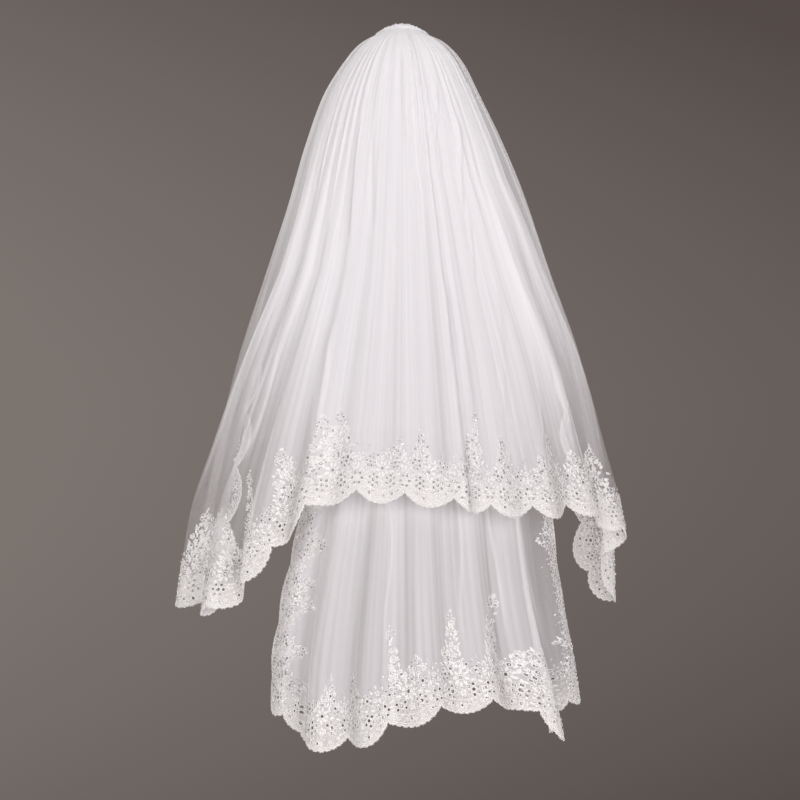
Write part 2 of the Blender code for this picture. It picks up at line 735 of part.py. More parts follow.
def build_heading():
    """The rolled, gathered top edge of both tiers, a soft ridge along the comb."""
    points = []
    for ring in range(HEADING_RINGS + 1):
        share = -1 + 2 * ring / HEADING_RINGS
        x = HEADING_HALF_LENGTH * share
        swell = HEADING_END_SHARE + (1 - HEADING_END_SHARE) * math.sqrt(1 - abs(share) ** 4)
        ruffle = HEADING_RUFFLE * math.cos(math.pi * ring)
        depth = HEADING_HALF_DEPTH * swell + ruffle / 2
        height = HEADING_HEIGHT * swell + ruffle / 2
        for side in range(HEADING_SIDES):
            turn = math.pi * side / (HEADING_SIDES - 1)
            y = HEADING_MIDDLE_Y - depth * math.cos(turn)
            base = HEADING_BASE_Z - arch_at(x)
            points.append((x, y, base + height * math.sin(turn)))
    faces = []
    for ring in range(HEADING_RINGS):
        for side in range(HEADING_SIDES):
            a = ring * HEADING_SIDES + side
            b = ring * HEADING_SIDES + (side + 1) % HEADING_SIDES
            c, d = a + HEADING_SIDES, b + HEADING_SIDES
            faces += [(a, d, b), (a, c, d)]
    last = HEADING_RINGS * HEADING_SIDES
    for side in range(1, HEADING_SIDES - 1):
        faces.append((0, side, side + 1))
        faces.append((last, last + side + 1, last + side))
    return add_object("gathered_heading", points, faces, NET)


def main():
    clear_scene()
    for tier in TIERS:
        edge = CutEdge(tier)
        columns, left, right = net_columns(tier, edge)
        build_net(tier, columns, left, right)
        build_lace(tier, edge, seam_chain(tier, columns, left, right), LACE_SPLITS[tier.name])
    build_comb()
    build_heading()


main()
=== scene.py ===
# %% [markdown]
# # A two-tier bridal veil, finished in Blender
# The veil hangs as it is worn, from a comb at the crown of the head. This lesson dresses them in
# see-through net, corded lace, pearls and sequins. Every length is in metres, +Z is up and the back
# of the veil faces -Y.

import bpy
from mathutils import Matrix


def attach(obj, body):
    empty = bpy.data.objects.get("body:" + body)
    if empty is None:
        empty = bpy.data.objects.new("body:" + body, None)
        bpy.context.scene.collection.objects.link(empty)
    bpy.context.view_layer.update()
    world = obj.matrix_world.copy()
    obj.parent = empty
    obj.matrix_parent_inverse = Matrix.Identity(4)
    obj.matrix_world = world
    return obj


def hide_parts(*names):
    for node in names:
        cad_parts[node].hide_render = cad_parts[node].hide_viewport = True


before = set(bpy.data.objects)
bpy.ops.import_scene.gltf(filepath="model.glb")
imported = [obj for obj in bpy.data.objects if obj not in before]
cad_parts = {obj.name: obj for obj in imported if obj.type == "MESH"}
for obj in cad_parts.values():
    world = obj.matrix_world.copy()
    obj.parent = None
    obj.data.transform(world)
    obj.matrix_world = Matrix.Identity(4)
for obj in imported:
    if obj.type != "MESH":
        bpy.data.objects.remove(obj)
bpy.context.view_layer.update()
print("solids:", sorted(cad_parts))

# %% Modules
import math
from collections import namedtuple

import bpy
import numpy as np
from mathutils import Vector
from mathutils.geometry import delaunay_2d_cdt

# %% [markdown]
# ## The cut and the drape
# A real tier is one flat sheet, gathered along its top and hung. So each piece is drawn flat, in cloth
# coordinates: "across" along the hem from the centre back, and "drop" down from the gathered line. One
# function, `drape`, then carries any flat point to the worn veil, and net, lace and beads all follow the
# same folds. The tables repeat the sizes of the solids, so that each shell lies on its own solid.

# %% Tables of the drape
Section = namedtuple("Section", "drop left right back front wrap_left wrap_right")
Turn = namedtuple("Turn", "across out start along", defaults=(0.0,))
HemPoint = namedtuple("HemPoint", "across drop")
Gather = namedtuple("Gather", "drop height")
Tier = namedtuple(
    "Tier", "name sections turns hem folds_full gather_count gather_heights lace_start corner"
)


def table(kind, *rows):
    """Bare rows, with their columns named."""
    return tuple(kind(*row) for row in rows)


print("columns of a level section:", Section._fields)

# %% The upper tier
UPPER = Tier(
    name="upper",
    sections=table(
        Section,
        (0, 0.043, 0.0435, 0.0085, 0.004, 98, 98), (0.01, 0.06, 0.063, 0.03, 0.014, 100, 100),
        (0.025, 0.076, 0.0795, 0.053, 0.028, 103, 103), (0.045, 0.09, 0.094, 0.075, 0.04, 106, 106),
        (0.1, 0.1215, 0.1195, 0.112, 0.06, 110, 110), (0.18, 0.152, 0.158, 0.14, 0.07, 113, 113),
        (0.28, 0.181, 0.199, 0.154, 0.082, 116, 116), (0.4, 0.218, 0.237, 0.168, 0.104, 118, 118),
        (0.53, 0.259, 0.279, 0.188, 0.128, 120, 120), (0.66, 0.292, 0.306, 0.213, 0.15, 122, 122),
        (0.78, 0.319, 0.331, 0.238, 0.166, 123, 123), (0.94, 0.335, 0.337, 0.262, 0.176, 124, 124),
    ),
    turns=table(
        Turn,
        (-0.76, 0, 0.3), (-0.7, 0.016, 0.3), (-0.622, -0.02, 0.25),
        (-0.54, 0.03, 0.15, 0.004), (-0.47, -0.018, 0.2), (-0.403, 0.022, 0.2, -0.004),
        (-0.346, -0.012, 0.25), (-0.294, 0.02, 0.2, -0.004), (-0.236, -0.01, 0.25),
        (-0.19, 0.012, 0.15), (-0.142, -0.006, 0.2), (-0.09, 0.007, 0.1),
        (-0.038, -0.006, 0.15), (0.01, 0.006, 0.12), (0.057, -0.005, 0.2),
        (0.114, 0.014, 0.12, 0.005), (0.157, -0.011, 0.15), (0.209, 0.007, 0.2),
        (0.261, -0.006, 0.2), (0.313, 0.009, 0.15), (0.37, -0.008, 0.2),
        (0.428, 0.013, 0.15), (0.49, -0.014, 0.2), (0.562, 0.026, 0.12),
        (0.622, -0.016, 0.2), (0.688, 0.026, 0.3, 0.004), (0.76, 0, 0.3),
    ),
    hem=table(
        HemPoint,
        (-0.76, 0.925), (-0.56, 0.918), (-0.47, 0.922), (-0.4, 0.93), (-0.35, 0.908), (-0.305, 0.885),
        (-0.26, 0.85), (-0.215, 0.805), (-0.17, 0.765), (-0.12, 0.75), (-0.04, 0.75), (0.06, 0.757),
        (0.17, 0.77), (0.3, 0.775), (0.44, 0.777), (0.5, 0.792), (0.54, 0.812), (0.58, 0.822),
        (0.63, 0.87), (0.67, 0.92), (0.76, 0.93),
    ),
    folds_full=0.86,
    gather_count=24,
    gather_heights=table(
        Gather,
        (0, 0.0003), (0.02, 0.0009), (0.08, 0.0022), (0.2, 0.002), (0.38, 0.0008), (0.52, 0), (1, 0),
    ),
    lace_start=0.52,
    corner=0.10,
)
print(UPPER.name, "tier:", len(UPPER.turns), "fold lines")

# %% The lower tier
LOWER = Tier(
    name="lower",
    sections=table(
        Section,
        (0, 0.0395, 0.04, 0.0038, 0.003, 84, 84), (0.01, 0.053, 0.056, 0.0215, 0.01, 82, 82),
        (0.025, 0.068, 0.0715, 0.044, 0.02, 80, 80), (0.045, 0.0815, 0.0855, 0.065, 0.03, 80, 80),
        (0.1, 0.11, 0.108, 0.101, 0.04, 76, 78), (0.18, 0.136, 0.142, 0.127, 0.045, 72, 76),
        (0.3, 0.16, 0.178, 0.142, 0.05, 66, 75), (0.45, 0.168, 0.205, 0.153, 0.05, 57, 75),
        (0.6, 0.172, 0.225, 0.172, 0.05, 54, 76), (0.75, 0.182, 0.24, 0.196, 0.05, 58, 78),
        (0.88, 0.205, 0.254, 0.22, 0.05, 64, 80), (1, 0.22, 0.272, 0.245, 0.06, 68, 84),
        (1.15, 0.225, 0.286, 0.27, 0.07, 68, 88),
    ),
    turns=table(
        Turn,
        (-0.34, 0, 0.3), (-0.285, 0.01, 0.3), (-0.225, -0.014, 0.25), (-0.165, 0.016, 0.2),
        (-0.11, -0.01, 0.2), (-0.06, 0.009, 0.15), (-0.01, -0.007, 0.2), (0.045, 0.008, 0.15),
        (0.1, -0.008, 0.2), (0.16, 0.01, 0.2), (0.215, -0.012, 0.25), (0.28, 0.024, 0.2, 0.006),
        (0.35, -0.018, 0.25), (0.415, 0.012, 0.3), (0.48, 0, 0.3),
    ),
    hem=table(
        HemPoint,
        (-0.34, 1.105), (-0.26, 1.11), (-0.2, 1.123), (-0.12, 1.125), (-0.06, 1.115), (0, 1.092),
        (0.08, 1.072), (0.16, 1.066), (0.22, 1.07), (0.265, 1.1), (0.305, 1.124), (0.35, 1.112),
        (0.4, 1.092), (0.48, 1.085),
    ),
    folds_full=1.05,
    gather_count=20,
    gather_heights=table(
        Gather,
        (0, 0.0002), (0.02, 0.0006), (0.08, 0.0014), (0.2, 0.002), (0.38, 0.001), (0.6, 0), (1.2, 0),
    ),
    lace_start=0.58,
    corner=0.11,
)
print(LOWER.name, "tier:", len(LOWER.turns), "fold lines")

# %% Sizes that the drape shares with the solids
GATHERED_LINE_Z = 0.0020
ARCH = 0.011  # how far the ends of the gathered line lie below its middle
ARCH_FADES_AT = 0.100
EDGE_STRIP = 0.16  # beside each cut edge, where the cloth keeps its width
MOST_STRIP_SHARE = 0.38
ARC_STEPS = 32
FOLD_GROWTH = 1.15  # a power: folds deepen a little faster than their distance down
MOST_GROWTH = 1.1
FOLD_STEPS = 1200
LEAST_ADVANCE = 0.15
NORMAL_REACH = 0.001
print("strips that keep their width:", EDGE_STRIP, "m")

# %% Reading a table
def between_rows(rows, column, x):
    """A column's places and values, the row before each x, and the share of the way to the next."""
    at = np.array([row[0] for row in rows])
    value = np.array([getattr(row, column) for row in rows], dtype=float)
    k = np.clip(np.searchsorted(at, x) - 1, 0, len(at) - 2)
    return at, value, k, np.clip((x - at[k]) / (at[k + 1] - at[k]), 0, 1)


def smooth(rows, column, x):
    """A named column of a table at x, on a smooth curve through its rows."""
    at, value, k, t = between_rows(rows, column, x)
    slope = np.gradient(value, at)
    width = at[k + 1] - at[k]
    start = (2 * t**3 - 3 * t**2 + 1) * value[k] + (t**3 - 2 * t**2 + t) * width * slope[k]
    end = (3 * t**2 - 2 * t**3) * value[k + 1] + (t**3 - t**2) * width * slope[k + 1]
    return start + end


def eased(rows, column, x):
    """A named column of a table at x, level at every row and eased between them."""
    _, value, k, t = between_rows(rows, column, x)
    return value[k] + (value[k + 1] - value[k]) * (1 - np.cos(np.pi * t)) / 2


def cut_left(tier):
    return -tier.turns[0].across


def cut_right(tier):
    return tier.turns[-1].across


# %% [markdown]
# A level section of the veil is a half ellipse round the head and the back. The cloth goes round it as
# an arc length, so that the folds neither stretch nor squeeze it: on the slope of a fold it goes less
# far round. The last strip beside each cut edge keeps its width all the way down, as real cloth does.

# %% The folded surface
def share_round(tier, across):
    """How far round the section a point lies, from -1 at the left edge to 1 at the right edge."""
    fine = np.linspace(-cut_left(tier), cut_right(tier), FOLD_STEPS + 1)
    slope = np.gradient(eased(tier.turns, "out", fine), fine)
    advance = np.sqrt(np.clip(1 - slope**2, LEAST_ADVANCE, 1))
    steps = (advance[1:] + advance[:-1]) / 2 * np.diff(fine)
    run = np.concatenate([[0], np.cumsum(steps)])
    run -= np.interp(0, fine, run)
    share = np.interp(across, fine, np.where(run < 0, run / -run[0], run / run[-1]))

    past = across - np.clip(across, fine[0], fine[-1])  # the scallops' small curves stand past the cut
    return share + np.where(past < 0, past / -run[0], past / run[-1])


def arcs(tier, side, drop):
    """Each drop's section on one side: angles, half width, depths behind and in front, and run."""
    width, wrap = (
        np.where(side < 0, smooth(tier.sections, left, drop), smooth(tier.sections, right, drop))
        for left, right in (("left", "right"), ("wrap_left", "wrap_right"))
    )
    angle = np.radians(wrap)[:, None] * np.linspace(0, 1, ARC_STEPS + 1)
    back = smooth(tier.sections, "back", drop)
    front = smooth(tier.sections, "front", drop)
    x = width[:, None] * np.sin(angle)
    y = -np.where(angle < np.pi / 2, back[:, None], front[:, None]) * np.cos(angle)
    step = np.hypot(np.diff(x, axis=1), np.diff(y, axis=1))
    run = np.concatenate([np.zeros((len(drop), 1)), np.cumsum(step, axis=1)], axis=1)
    return angle, width, back, front, run


def spot(tier, across, drop):
    """The folded surface without its fine gathers."""
    flat_share = share_round(tier, across)
    side = np.where(flat_share < 0, -1.0, 1.0)
    angle, width, back, front, run = arcs(tier, side, drop)
    length = run[:, -1]

    hem_drop = np.full(2, tier.hem[0].drop)
    hem_run = arcs(tier, np.array([-1.0, 1.0]), hem_drop)[4][:, -1]
    hem_length = np.where(side < 0, hem_run[0], hem_run[1])
    strip_left = 1 + share_round(tier, -cut_left(tier) + EDGE_STRIP)
    strip_right = 1 - share_round(tier, cut_right(tier) - EDGE_STRIP)
    strip_at_hem = np.where(side < 0, strip_left, strip_right)
    strip = np.clip(strip_at_hem * hem_length / length, strip_at_hem, MOST_STRIP_SHARE)
    strip = np.maximum(strip, strip_at_hem)
    s = np.abs(flat_share)
    share = np.where(
        s > 1 - strip_at_hem,
        1 - (1 - s) * strip / strip_at_hem,
        s * (1 - strip) / (1 - strip_at_hem),
    )

    target = share * length
    rows = np.arange(len(drop))
    k = np.clip((run < target[:, None]).sum(axis=1) - 1, 0, ARC_STEPS - 1)
    part = np.maximum((target - run[rows, k]) / (run[rows, k + 1] - run[rows, k]), 0)
    at = angle[rows, k] + part * (angle[rows, k + 1] - angle[rows, k])
    depth = np.where(at < np.pi / 2, back, front)
    tangent = np.stack([width * np.cos(at) * side, depth * np.sin(at)], axis=1)
    tangent /= np.linalg.norm(tangent, axis=1)[:, None]
    outward = np.stack([tangent[:, 1] * side, -tangent[:, 0] * side], axis=1)

    start = eased(tier.turns, "start", across)
    grown = np.clip((drop - start) / (tier.folds_full - start), 0, MOST_GROWTH) ** FOLD_GROWTH
    out = eased(tier.turns, "out", across) * grown
    along = eased(tier.turns, "along", across) * grown
    x = width * np.sin(at) * side + outward[:, 0] * out + tangent[:, 0] * along * side
    y = -depth * np.cos(at) + outward[:, 1] * out + tangent[:, 1] * along * side
    arch = ARCH * (x / width) ** 2 * np.clip(1 - drop / ARCH_FADES_AT, 0, 1)
    return np.stack([x, y, GATHERED_LINE_Z - drop - arch], axis=1)


middle_back = spot(UPPER, np.zeros(1), np.full(1, 0.5))[0]
print("half a metre down the centre back:", middle_back.round(3))

# %% [markdown]
# The solids have a few even gathers. Real net gathers unevenly: fine ridges of many widths that run down
# from the comb, part, join and fade, and a few long soft creases. So the fine surface bends the even
# waves with slow noise, adds a second, finer set, and presses in the long creases from a table.

# %% Long creases
Crease = namedtuple("Crease", "across top bottom lean depth width")
CREASES = {
    "upper": table(
        Crease,
        (0.002, 0.03, 0.22, 0.008, 0.0034, 0.007), (-0.215, 0.14, 0.36, 0.025, 0.0036, 0.009),
        (-0.15, 0.16, 0.34, 0.035, -0.0028, 0.012), (0.067, 0.24, 0.38, -0.012, 0.0028, 0.007),
        (0.255, 0.09, 0.2, -0.08, 0.0032, 0.009), (0.352, 0.13, 0.32, -0.11, 0.0034, 0.01),
        (0.284, 0.28, 0.42, -0.042, 0.003, 0.008), (0.318, 0.4, 0.64, -0.075, 0.0036, 0.01),
        (-0.04, 0.33, 0.54, 0.012, 0.0028, 0.008), (0.13, 0.4, 0.56, -0.02, 0.003, 0.008),
        (0.06, 0.1, 0.3, 0.02, -0.0028, 0.01), (-0.205, 0.46, 0.66, 0.02, 0.0034, 0.008),
        (-0.08, 0.45, 0.66, 0.008, 0.0026, 0.008), (0.18, 0.48, 0.7, -0.02, 0.003, 0.008),
        (-0.387, 0.4, 0.8, 0.006, 0.0046, 0.01), (-0.52, 0.4, 0.84, 0.006, 0.005, 0.01),
        (-0.47, 0.42, 0.76, 0.07, -0.004, 0.012), (-0.64, 0.36, 0.84, 0.1, 0.0044, 0.014),
        (0.4, 0.22, 0.7, 0.03, 0.004, 0.012), (0.535, 0.36, 0.76, -0.026, 0.0046, 0.01),
        (0.64, 0.3, 0.8, 0.01, -0.004, 0.014),
    ),
    "lower": table(
        Crease,
        (-0.24, 0.4, 1, 0.01, 0.004, 0.01), (-0.13, 0.55, 0.98, -0.012, -0.003, 0.009),
        (-0.045, 0.6, 0.96, 0.01, 0.003, 0.008), (0.03, 0.5, 0.9, 0.006, -0.003, 0.009),
        (0.125, 0.62, 1, -0.01, 0.0034, 0.008), (0.24, 0.45, 0.98, 0.012, -0.0034, 0.01),
        (0.39, 0.5, 1.02, 0.01, 0.0034, 0.01),
    ),
}
CREASE_ENDS = 0.25  # share of its length over which a crease fades in, and out


def soft_step(t):
    """From 0 to 1, level at both ends."""
    return t * t * (3 - 2 * t)


def down_a_fold(fold, drop, ends):
    """The share of the way down a fold, and how much of it shows there."""
    t = np.clip((drop - fold.top) / (fold.bottom - fold.top), 0, 1)
    return t, soft_step(np.clip(np.minimum(t, 1 - t) / ends, 0, 1))


def crease_height(tier, across, drop):
    total = np.zeros_like(across)
    for crease in CREASES[tier.name]:
        t, fade = down_a_fold(crease, drop, CREASE_ENDS)
        off = (across - crease.across - crease.lean * t) / crease.width
        total += crease.depth * fade * np.exp(-off * off)
    return total


print("creases:", {name: len(creases) for name, creases in CREASES.items()})

# %% Uneven gathers
GATHER_SEEDS = {"upper": 11, "lower": 23}
GATHER_SPREAD = 1.9  # radians by which the even gathers wander
GATHER_SHARE = 0.44  # of the solids' gathers, which are deeper so that they show at all
GATHER_UNEVEN = 0.35
FINE_GATHERS = 2.65  # fine waves for each gather
FINE_SPREAD = 2.5
FINE_HEIGHT = 0.24  # of a gather's height
WANDER_TERMS = 7
WANDER_DOWN = 2.2  # radians of sway for each metre down the cloth


def wander(across, drop, seed, waves):
    """Smooth noise of about unit height that changes quickly across the cloth and slowly down it."""
    draw = np.random.default_rng(seed)
    total = np.zeros_like(across)
    for _ in range(WANDER_TERMS):
        frequency = waves * draw.uniform(0.4, 1.6)
        sway = draw.uniform(1.0, 4.0)
        phase, tilt = draw.uniform(0, 2 * np.pi, 2)
        total += np.sin(2 * np.pi * frequency * across + phase + sway * np.sin(WANDER_DOWN * drop + tilt))
    return total / math.sqrt(WANDER_TERMS / 2)


def gather_height(tier, across, drop):
    share = (across + cut_left(tier)) / (cut_left(tier) + cut_right(tier))
    seed = GATHER_SEEDS[tier.name]
    phase = 2 * np.pi * share * tier.gather_count + GATHER_SPREAD * wander(across, drop, seed, 3.0)
    fine = 2 * np.pi * share * tier.gather_count * FINE_GATHERS
    fine = fine + FINE_SPREAD * wander(across, drop, seed + 1, 5.0)
    uneven = 1 + GATHER_UNEVEN * wander(across, drop, seed + 2, 4.0)
    height = np.maximum(smooth(tier.gather_heights, "height", drop), 0)
    return GATHER_SHARE * height * (np.cos(phase) * uneven + FINE_HEIGHT * np.cos(fine))


# %% From flat to draped
def drape(tier, across, drop):
    """Points of the fine surface and its outward normals."""
    reach = NORMAL_REACH
    across = np.asarray(across, float)
    drop = np.asarray(drop, float)
    point = spot(tier, across, drop)
    over = spot(tier, across + reach, drop) - spot(tier, across - reach, drop)
    down = spot(tier, across, drop + reach) - spot(tier, across, np.maximum(drop - reach, 0))
    normal = np.cross(down, over)
    normal /= np.linalg.norm(normal, axis=1)[:, None]
    height = gather_height(tier, across, drop) + crease_height(tier, across, drop)
    return point + normal * height[:, None], normal


def in_pieces(work, tier, flat, size=20000):
    """Runs work over rows of flat points, a part of them at a time to keep memory small."""
    parts = [work(tier, *flat[i : i + size].T) for i in range(0, len(flat), size)]
    if isinstance(parts[0], tuple):
        return tuple(np.concatenate(column) for column in zip(*parts))
    return np.concatenate(parts)


over_crown = drape(UPPER, np.zeros(1), np.full(1, 0.05))[1][0]
print("over the crown the cloth faces", over_crown.round(2))

# %% [markdown]
# ## The cut edge and the seam
# The lace edging follows the cut edge: down one side, round a corner, along the hem and up again. Its
# inner border is the seam, a band's width inside the scallops' tips. Net ends at the seam, lace begins.

# %% The cut edge
BAND = 0.088  # from the scallops' tips to the seam
TAPER = 0.100  # the run over which the band grows to its width, at either end
SCALLOP_PITCH = 0.090
SCALLOP_NOTCH = 0.020
SCALLOP_FULLNESS = 0.8
TANGENT_REACH = 0.004
EDGE_STEPS_SIDE = 40
EDGE_STEPS_HEM = 400
EDGE_STEPS_CORNER = 24
STRIP_SLACK = 1e-6
NEAR_SHARE = 0.999  # of the band: beyond it a circle round a point of the edge has no height


class CutEdge:
    """The cut edge that the scallops' tips touch, measured from the lace's start on the left."""

    def __init__(self, tier):
        self.tier = tier
        left, right, radius = -cut_left(tier), cut_right(tier), tier.corner
        low_left, low_right = tier.hem[0].drop - radius, tier.hem[-1].drop - radius
        turn = np.linspace(0, math.pi / 2, EDGE_STEPS_CORNER + 1)[1:-1]
        hem = np.linspace(left + radius, right - radius, EDGE_STEPS_HEM)
        path = [(left, d) for d in np.linspace(tier.lace_start, low_left, EDGE_STEPS_SIDE)]
        path += [(left + radius - radius * math.cos(t), low_left + radius * math.sin(t)) for t in turn]
        path += list(zip(hem, smooth(tier.hem, "drop", hem)))
        path += [(right - radius + radius * math.sin(t), low_right + radius * math.cos(t)) for t in turn]
        path += [(right, d) for d in np.linspace(low_right, tier.lace_start, EDGE_STEPS_SIDE)]
        self.path = np.array(path)
        step = np.linalg.norm(np.diff(self.path, axis=0), axis=1)
        self.run = np.concatenate([[0], np.cumsum(step)])
        self.length = self.run[-1]
        self.count = round(self.length / SCALLOP_PITCH)
        self.pitch = self.length / self.count

    def on_path(self, s):
        return np.stack([np.interp(s, self.run, self.path[:, i]) for i in (0, 1)], axis=-1)

    def at(self, s, inwards):
        """Flat points at s along the edge, moved inwards."""
        s = np.asarray(s, float)
        tangent = self.on_path(s + TANGENT_REACH) - self.on_path(s - TANGENT_REACH)
        tangent /= np.linalg.norm(tangent, axis=-1)[..., None]
        inner = np.stack([tangent[..., 1], -tangent[..., 0]], axis=-1)
        return self.on_path(s) + np.asarray(inwards, float)[..., None] * inner

    def notch(self, s):
        """How far the scalloped edge lies inside the tips at s."""
        s = np.asarray(s, float)
        fullness = np.abs(np.sin(np.pi * s / self.pitch)) ** SCALLOP_FULLNESS
        from_end = np.minimum(s, self.length - s)
        return SCALLOP_NOTCH * np.minimum(1, from_end / (self.pitch / 2)) * (1 - fullness)

    def seam_drop(self, across):
        """Where a line down the net meets the lace."""
        tier = self.tier
        from_side = (cut_left(tier) if across < 0 else cut_right(tier)) - abs(across)
        if from_side < BAND - STRIP_SLACK:
            return tier.lace_start + TAPER * from_side / BAND
        off = np.abs(self.path[:, 0] - across)
        near = off < BAND * NEAR_SHARE
        return float((self.path[near, 1] - np.sqrt(BAND**2 - off[near] ** 2)).min())


EDGES = {tier.name: CutEdge(tier) for tier in (UPPER, LOWER)}
for name, edge in EDGES.items():
    print(name, "edge", round(edge.length, 3), "m,", edge.count, "scallops of", round(edge.pitch, 4))

# %% [markdown]
# ## Net that can be seen through
# Soft net is mostly holes, so one layer hides only part of what is behind it. Where the sheet is
# gathered, many layers lie in the same place and hide far more. Rather than model every pleat, each
# point of the shell keeps how much it covers: one minus the clear part raised to the count of layers.
# The count is the cloth's flat width over its hung width, with fine streaks for the pleats.

# %% What one layer covers
Sheer = namedtuple("Sheer", "across layer")
SHEERNESS = {
    "upper": table(
        Sheer,
        (-0.76, 0.16), (-0.58, 0.2), (-0.46, 0.46), (-0.38, 0.46), (-0.3, 0.55), (-0.18, 0.57), (0, 0.57),
        (0.2, 0.56), (0.32, 0.58), (0.4, 0.6), (0.47, 0.34), (0.52, 0.22), (0.57, 0.15), (0.76, 0.15),
    ),
    "lower": table(
        Sheer,
        (-0.34, 0.58), (-0.27, 0.68), (-0.12, 0.61), (0.05, 0.6), (0.2, 0.57), (0.38, 0.55), (0.48, 0.48),
    ),
}
MOST_LAYERS = 9.0
LEAST_LAYERS = 0.2
LAYER_POWER = {"upper": 1.0, "lower": 0.6}  # how far slopes show as extra layers
STREAK_SEEDS = {"upper": 41, "lower": 57}
STREAKS = ((0.10, 13), (0.07, 42), (0.06, 96))  # how uneven the pleats are, and how many to a metre
print("one layer covers from", min(row.layer for rows in SHEERNESS.values() for row in rows), "up")

# %% [markdown]
# Higher up the pleats lie closer than the shell's own folds show, most of all towards the sides. And a
# pleat that lies pressed flat shows as a thin line that covers more. Both are short tables.

# %% Bunched and pressed pleats
Bunching = namedtuple("Bunching", "drop middle sides")
BUNCHING = table(
    Bunching,
    (0, 1.2, 1.7), (0.15, 1.2, 2.8), (0.28, 1.2, 2.9), (0.43, 1.2, 1.9), (0.52, 1.15, 1.25),
    (0.6, 1.1, 0.8), (0.68, 1, 0.5), (0.75, 1, 0.26), (0.95, 1, 0.55), (1.15, 1, 0.8),
)
SIDES_FROM = {"upper": (0.20, 0.44), "lower": (0.22, 0.50)}  # from the centre back, over which it eases
FoldLine = namedtuple("FoldLine", "top_across top across bottom layers width")
FOLD_LINES = {
    "upper": table(
        FoldLine,
        (-0.65, 0.36, -0.59, 0.76, 1.3, 0.0055), (-0.548, 0.32, -0.536, 0.78, 1.6, 0.0042),
        (-0.48, 0.4, -0.44, 0.74, 1.2, 0.005), (-0.388, 0.42, -0.382, 0.7, 1.2, 0.0044),
        (-0.33, 0.2, -0.32, 0.6, 0.8, 0.005), (-0.205, 0.46, -0.18, 0.66, 0.9, 0.0046),
        (0.4, 0.2, 0.43, 0.66, 1, 0.005), (0.47, 0.3, 0.452, 0.7, 1, 0.0048),
        (0.566, 0.34, 0.54, 0.74, 1.6, 0.004), (0.64, 0.3, 0.622, 0.8, 1, 0.0055),
        (0.715, 0.36, 0.7, 0.74, 1, 0.0044),
    ),
    "lower": table(
        FoldLine,
        (-0.205, 0.6, -0.19, 1, 0.5, 0.0036), (-0.03, 0.72, -0.028, 0.98, 0.6, 0.0026),
        (0.135, 0.7, 0.128, 1, 0.5, 0.0032), (0.222, 0.6, 0.226, 0.99, 0.6, 0.003),
        (0.352, 0.55, 0.36, 1.02, 0.7, 0.004), (0.3, 0.6, 0.31, 1, 0.4, 0.004),
    ),
}
FOLD_LINE_SWAY = 0.006  # metres across by which a pressed fold wanders down its length
FOLD_LINE_ENDS = 0.3


def pressed_folds(tier, across, drop):
    """Layers added by the pressed pleats."""
    extra = np.zeros_like(across)
    for line in FOLD_LINES[tier.name]:
        t, fade = down_a_fold(line, drop, FOLD_LINE_ENDS)
        middle = line.top_across + (line.across - line.top_across) * t
        middle = middle + FOLD_LINE_SWAY * np.sin(2.3 * np.pi * t + 40 * line.top_across)
        off = (across - middle) / line.width
        extra += line.layers * fade * np.exp(-off * off)
    return extra


print("pressed folds:", {name: len(lines) for name, lines in FOLD_LINES.items()})

# %% How much the net covers
def net_cover(tier, across, drop):
    reach = NORMAL_REACH
    over = spot(tier, across + reach, drop) - spot(tier, across - reach, drop)
    layers = np.clip(2 * reach / np.linalg.norm(over, axis=1), 1, MOST_LAYERS) ** LAYER_POWER[tier.name]
    streak = 1
    for i, (unevenness, pleats) in enumerate(STREAKS):
        streak = streak + unevenness * wander(across, drop, STREAK_SEEDS[tier.name] + i, pleats)
    single = smooth(SHEERNESS[tier.name], "layer", across)
    inner, outer = SIDES_FROM[tier.name]
    side = soft_step(np.clip((np.abs(across) - inner) / (outer - inner), 0, 1))
    middle, sides = (smooth(BUNCHING, column, drop) for column in ("middle", "sides"))
    bunched = middle + (sides - middle) * side
    count = np.clip(layers * streak * bunched, LEAST_LAYERS, None) + pressed_folds(tier, across, drop)
    return 1 - (1 - single) ** count


centre_back = net_cover(UPPER, np.zeros(3), np.array([0.1, 0.4, 0.7]))
print("the upper net covers, down its centre back:", centre_back.round(2))

# %% Arrays into meshes
def in_scene(name, data):
    """A new object that holds the data, in the scene."""
    made = bpy.data.objects.new(name, data)
    bpy.context.scene.collection.objects.link(made)
    return made


def piece_of(name, points, faces, material, uv=None, cover=None):
    """A piece from arrays: faces all with as many corners, uv and cover for each point."""
    mesh = bpy.data.meshes.new(name)
    mesh.vertices.add(len(points))
    mesh.vertices.foreach_set("co", np.asarray(points, np.float32).ravel())
    mesh.loops.add(faces.size)
    mesh.loops.foreach_set("vertex_index", np.asarray(faces, np.int32).ravel())
    mesh.polygons.add(len(faces))
    starts = np.arange(len(faces), dtype=np.int32) * faces.shape[1]
    mesh.polygons.foreach_set("loop_start", starts)
    mesh.polygons.foreach_set("use_smooth", np.ones(len(faces), bool))
    mesh.materials.append(material)
    if uv is not None:
        layer = mesh.uv_layers.new(name="cut")
        layer.uv.foreach_set("vector", np.asarray(uv, np.float32)[faces.ravel()].ravel())
    if cover is not None:
        on_points(mesh, "cover", cover)
    mesh.update(calc_edges=True)
    mesh.validate()
    return in_scene(name, mesh)


def on_points(mesh, label, values):
    """Keeps a number for each point of the mesh."""
    attribute = mesh.attributes.new(label, "FLOAT", "POINT")
    attribute.data.foreach_set("value", np.asarray(values, np.float32))


def merged(parts):
    """Points and faces of several parts as one."""
    firsts = np.cumsum([0] + [len(points) for points, _ in parts])
    faces = [faces + first for (_, faces), first in zip(parts, firsts)]
    return np.concatenate([points for points, _ in parts]), np.concatenate(faces)


def numbered(count, row):
    """The numbers of points that lie in rows."""
    return np.arange(count * row).reshape(count, row)


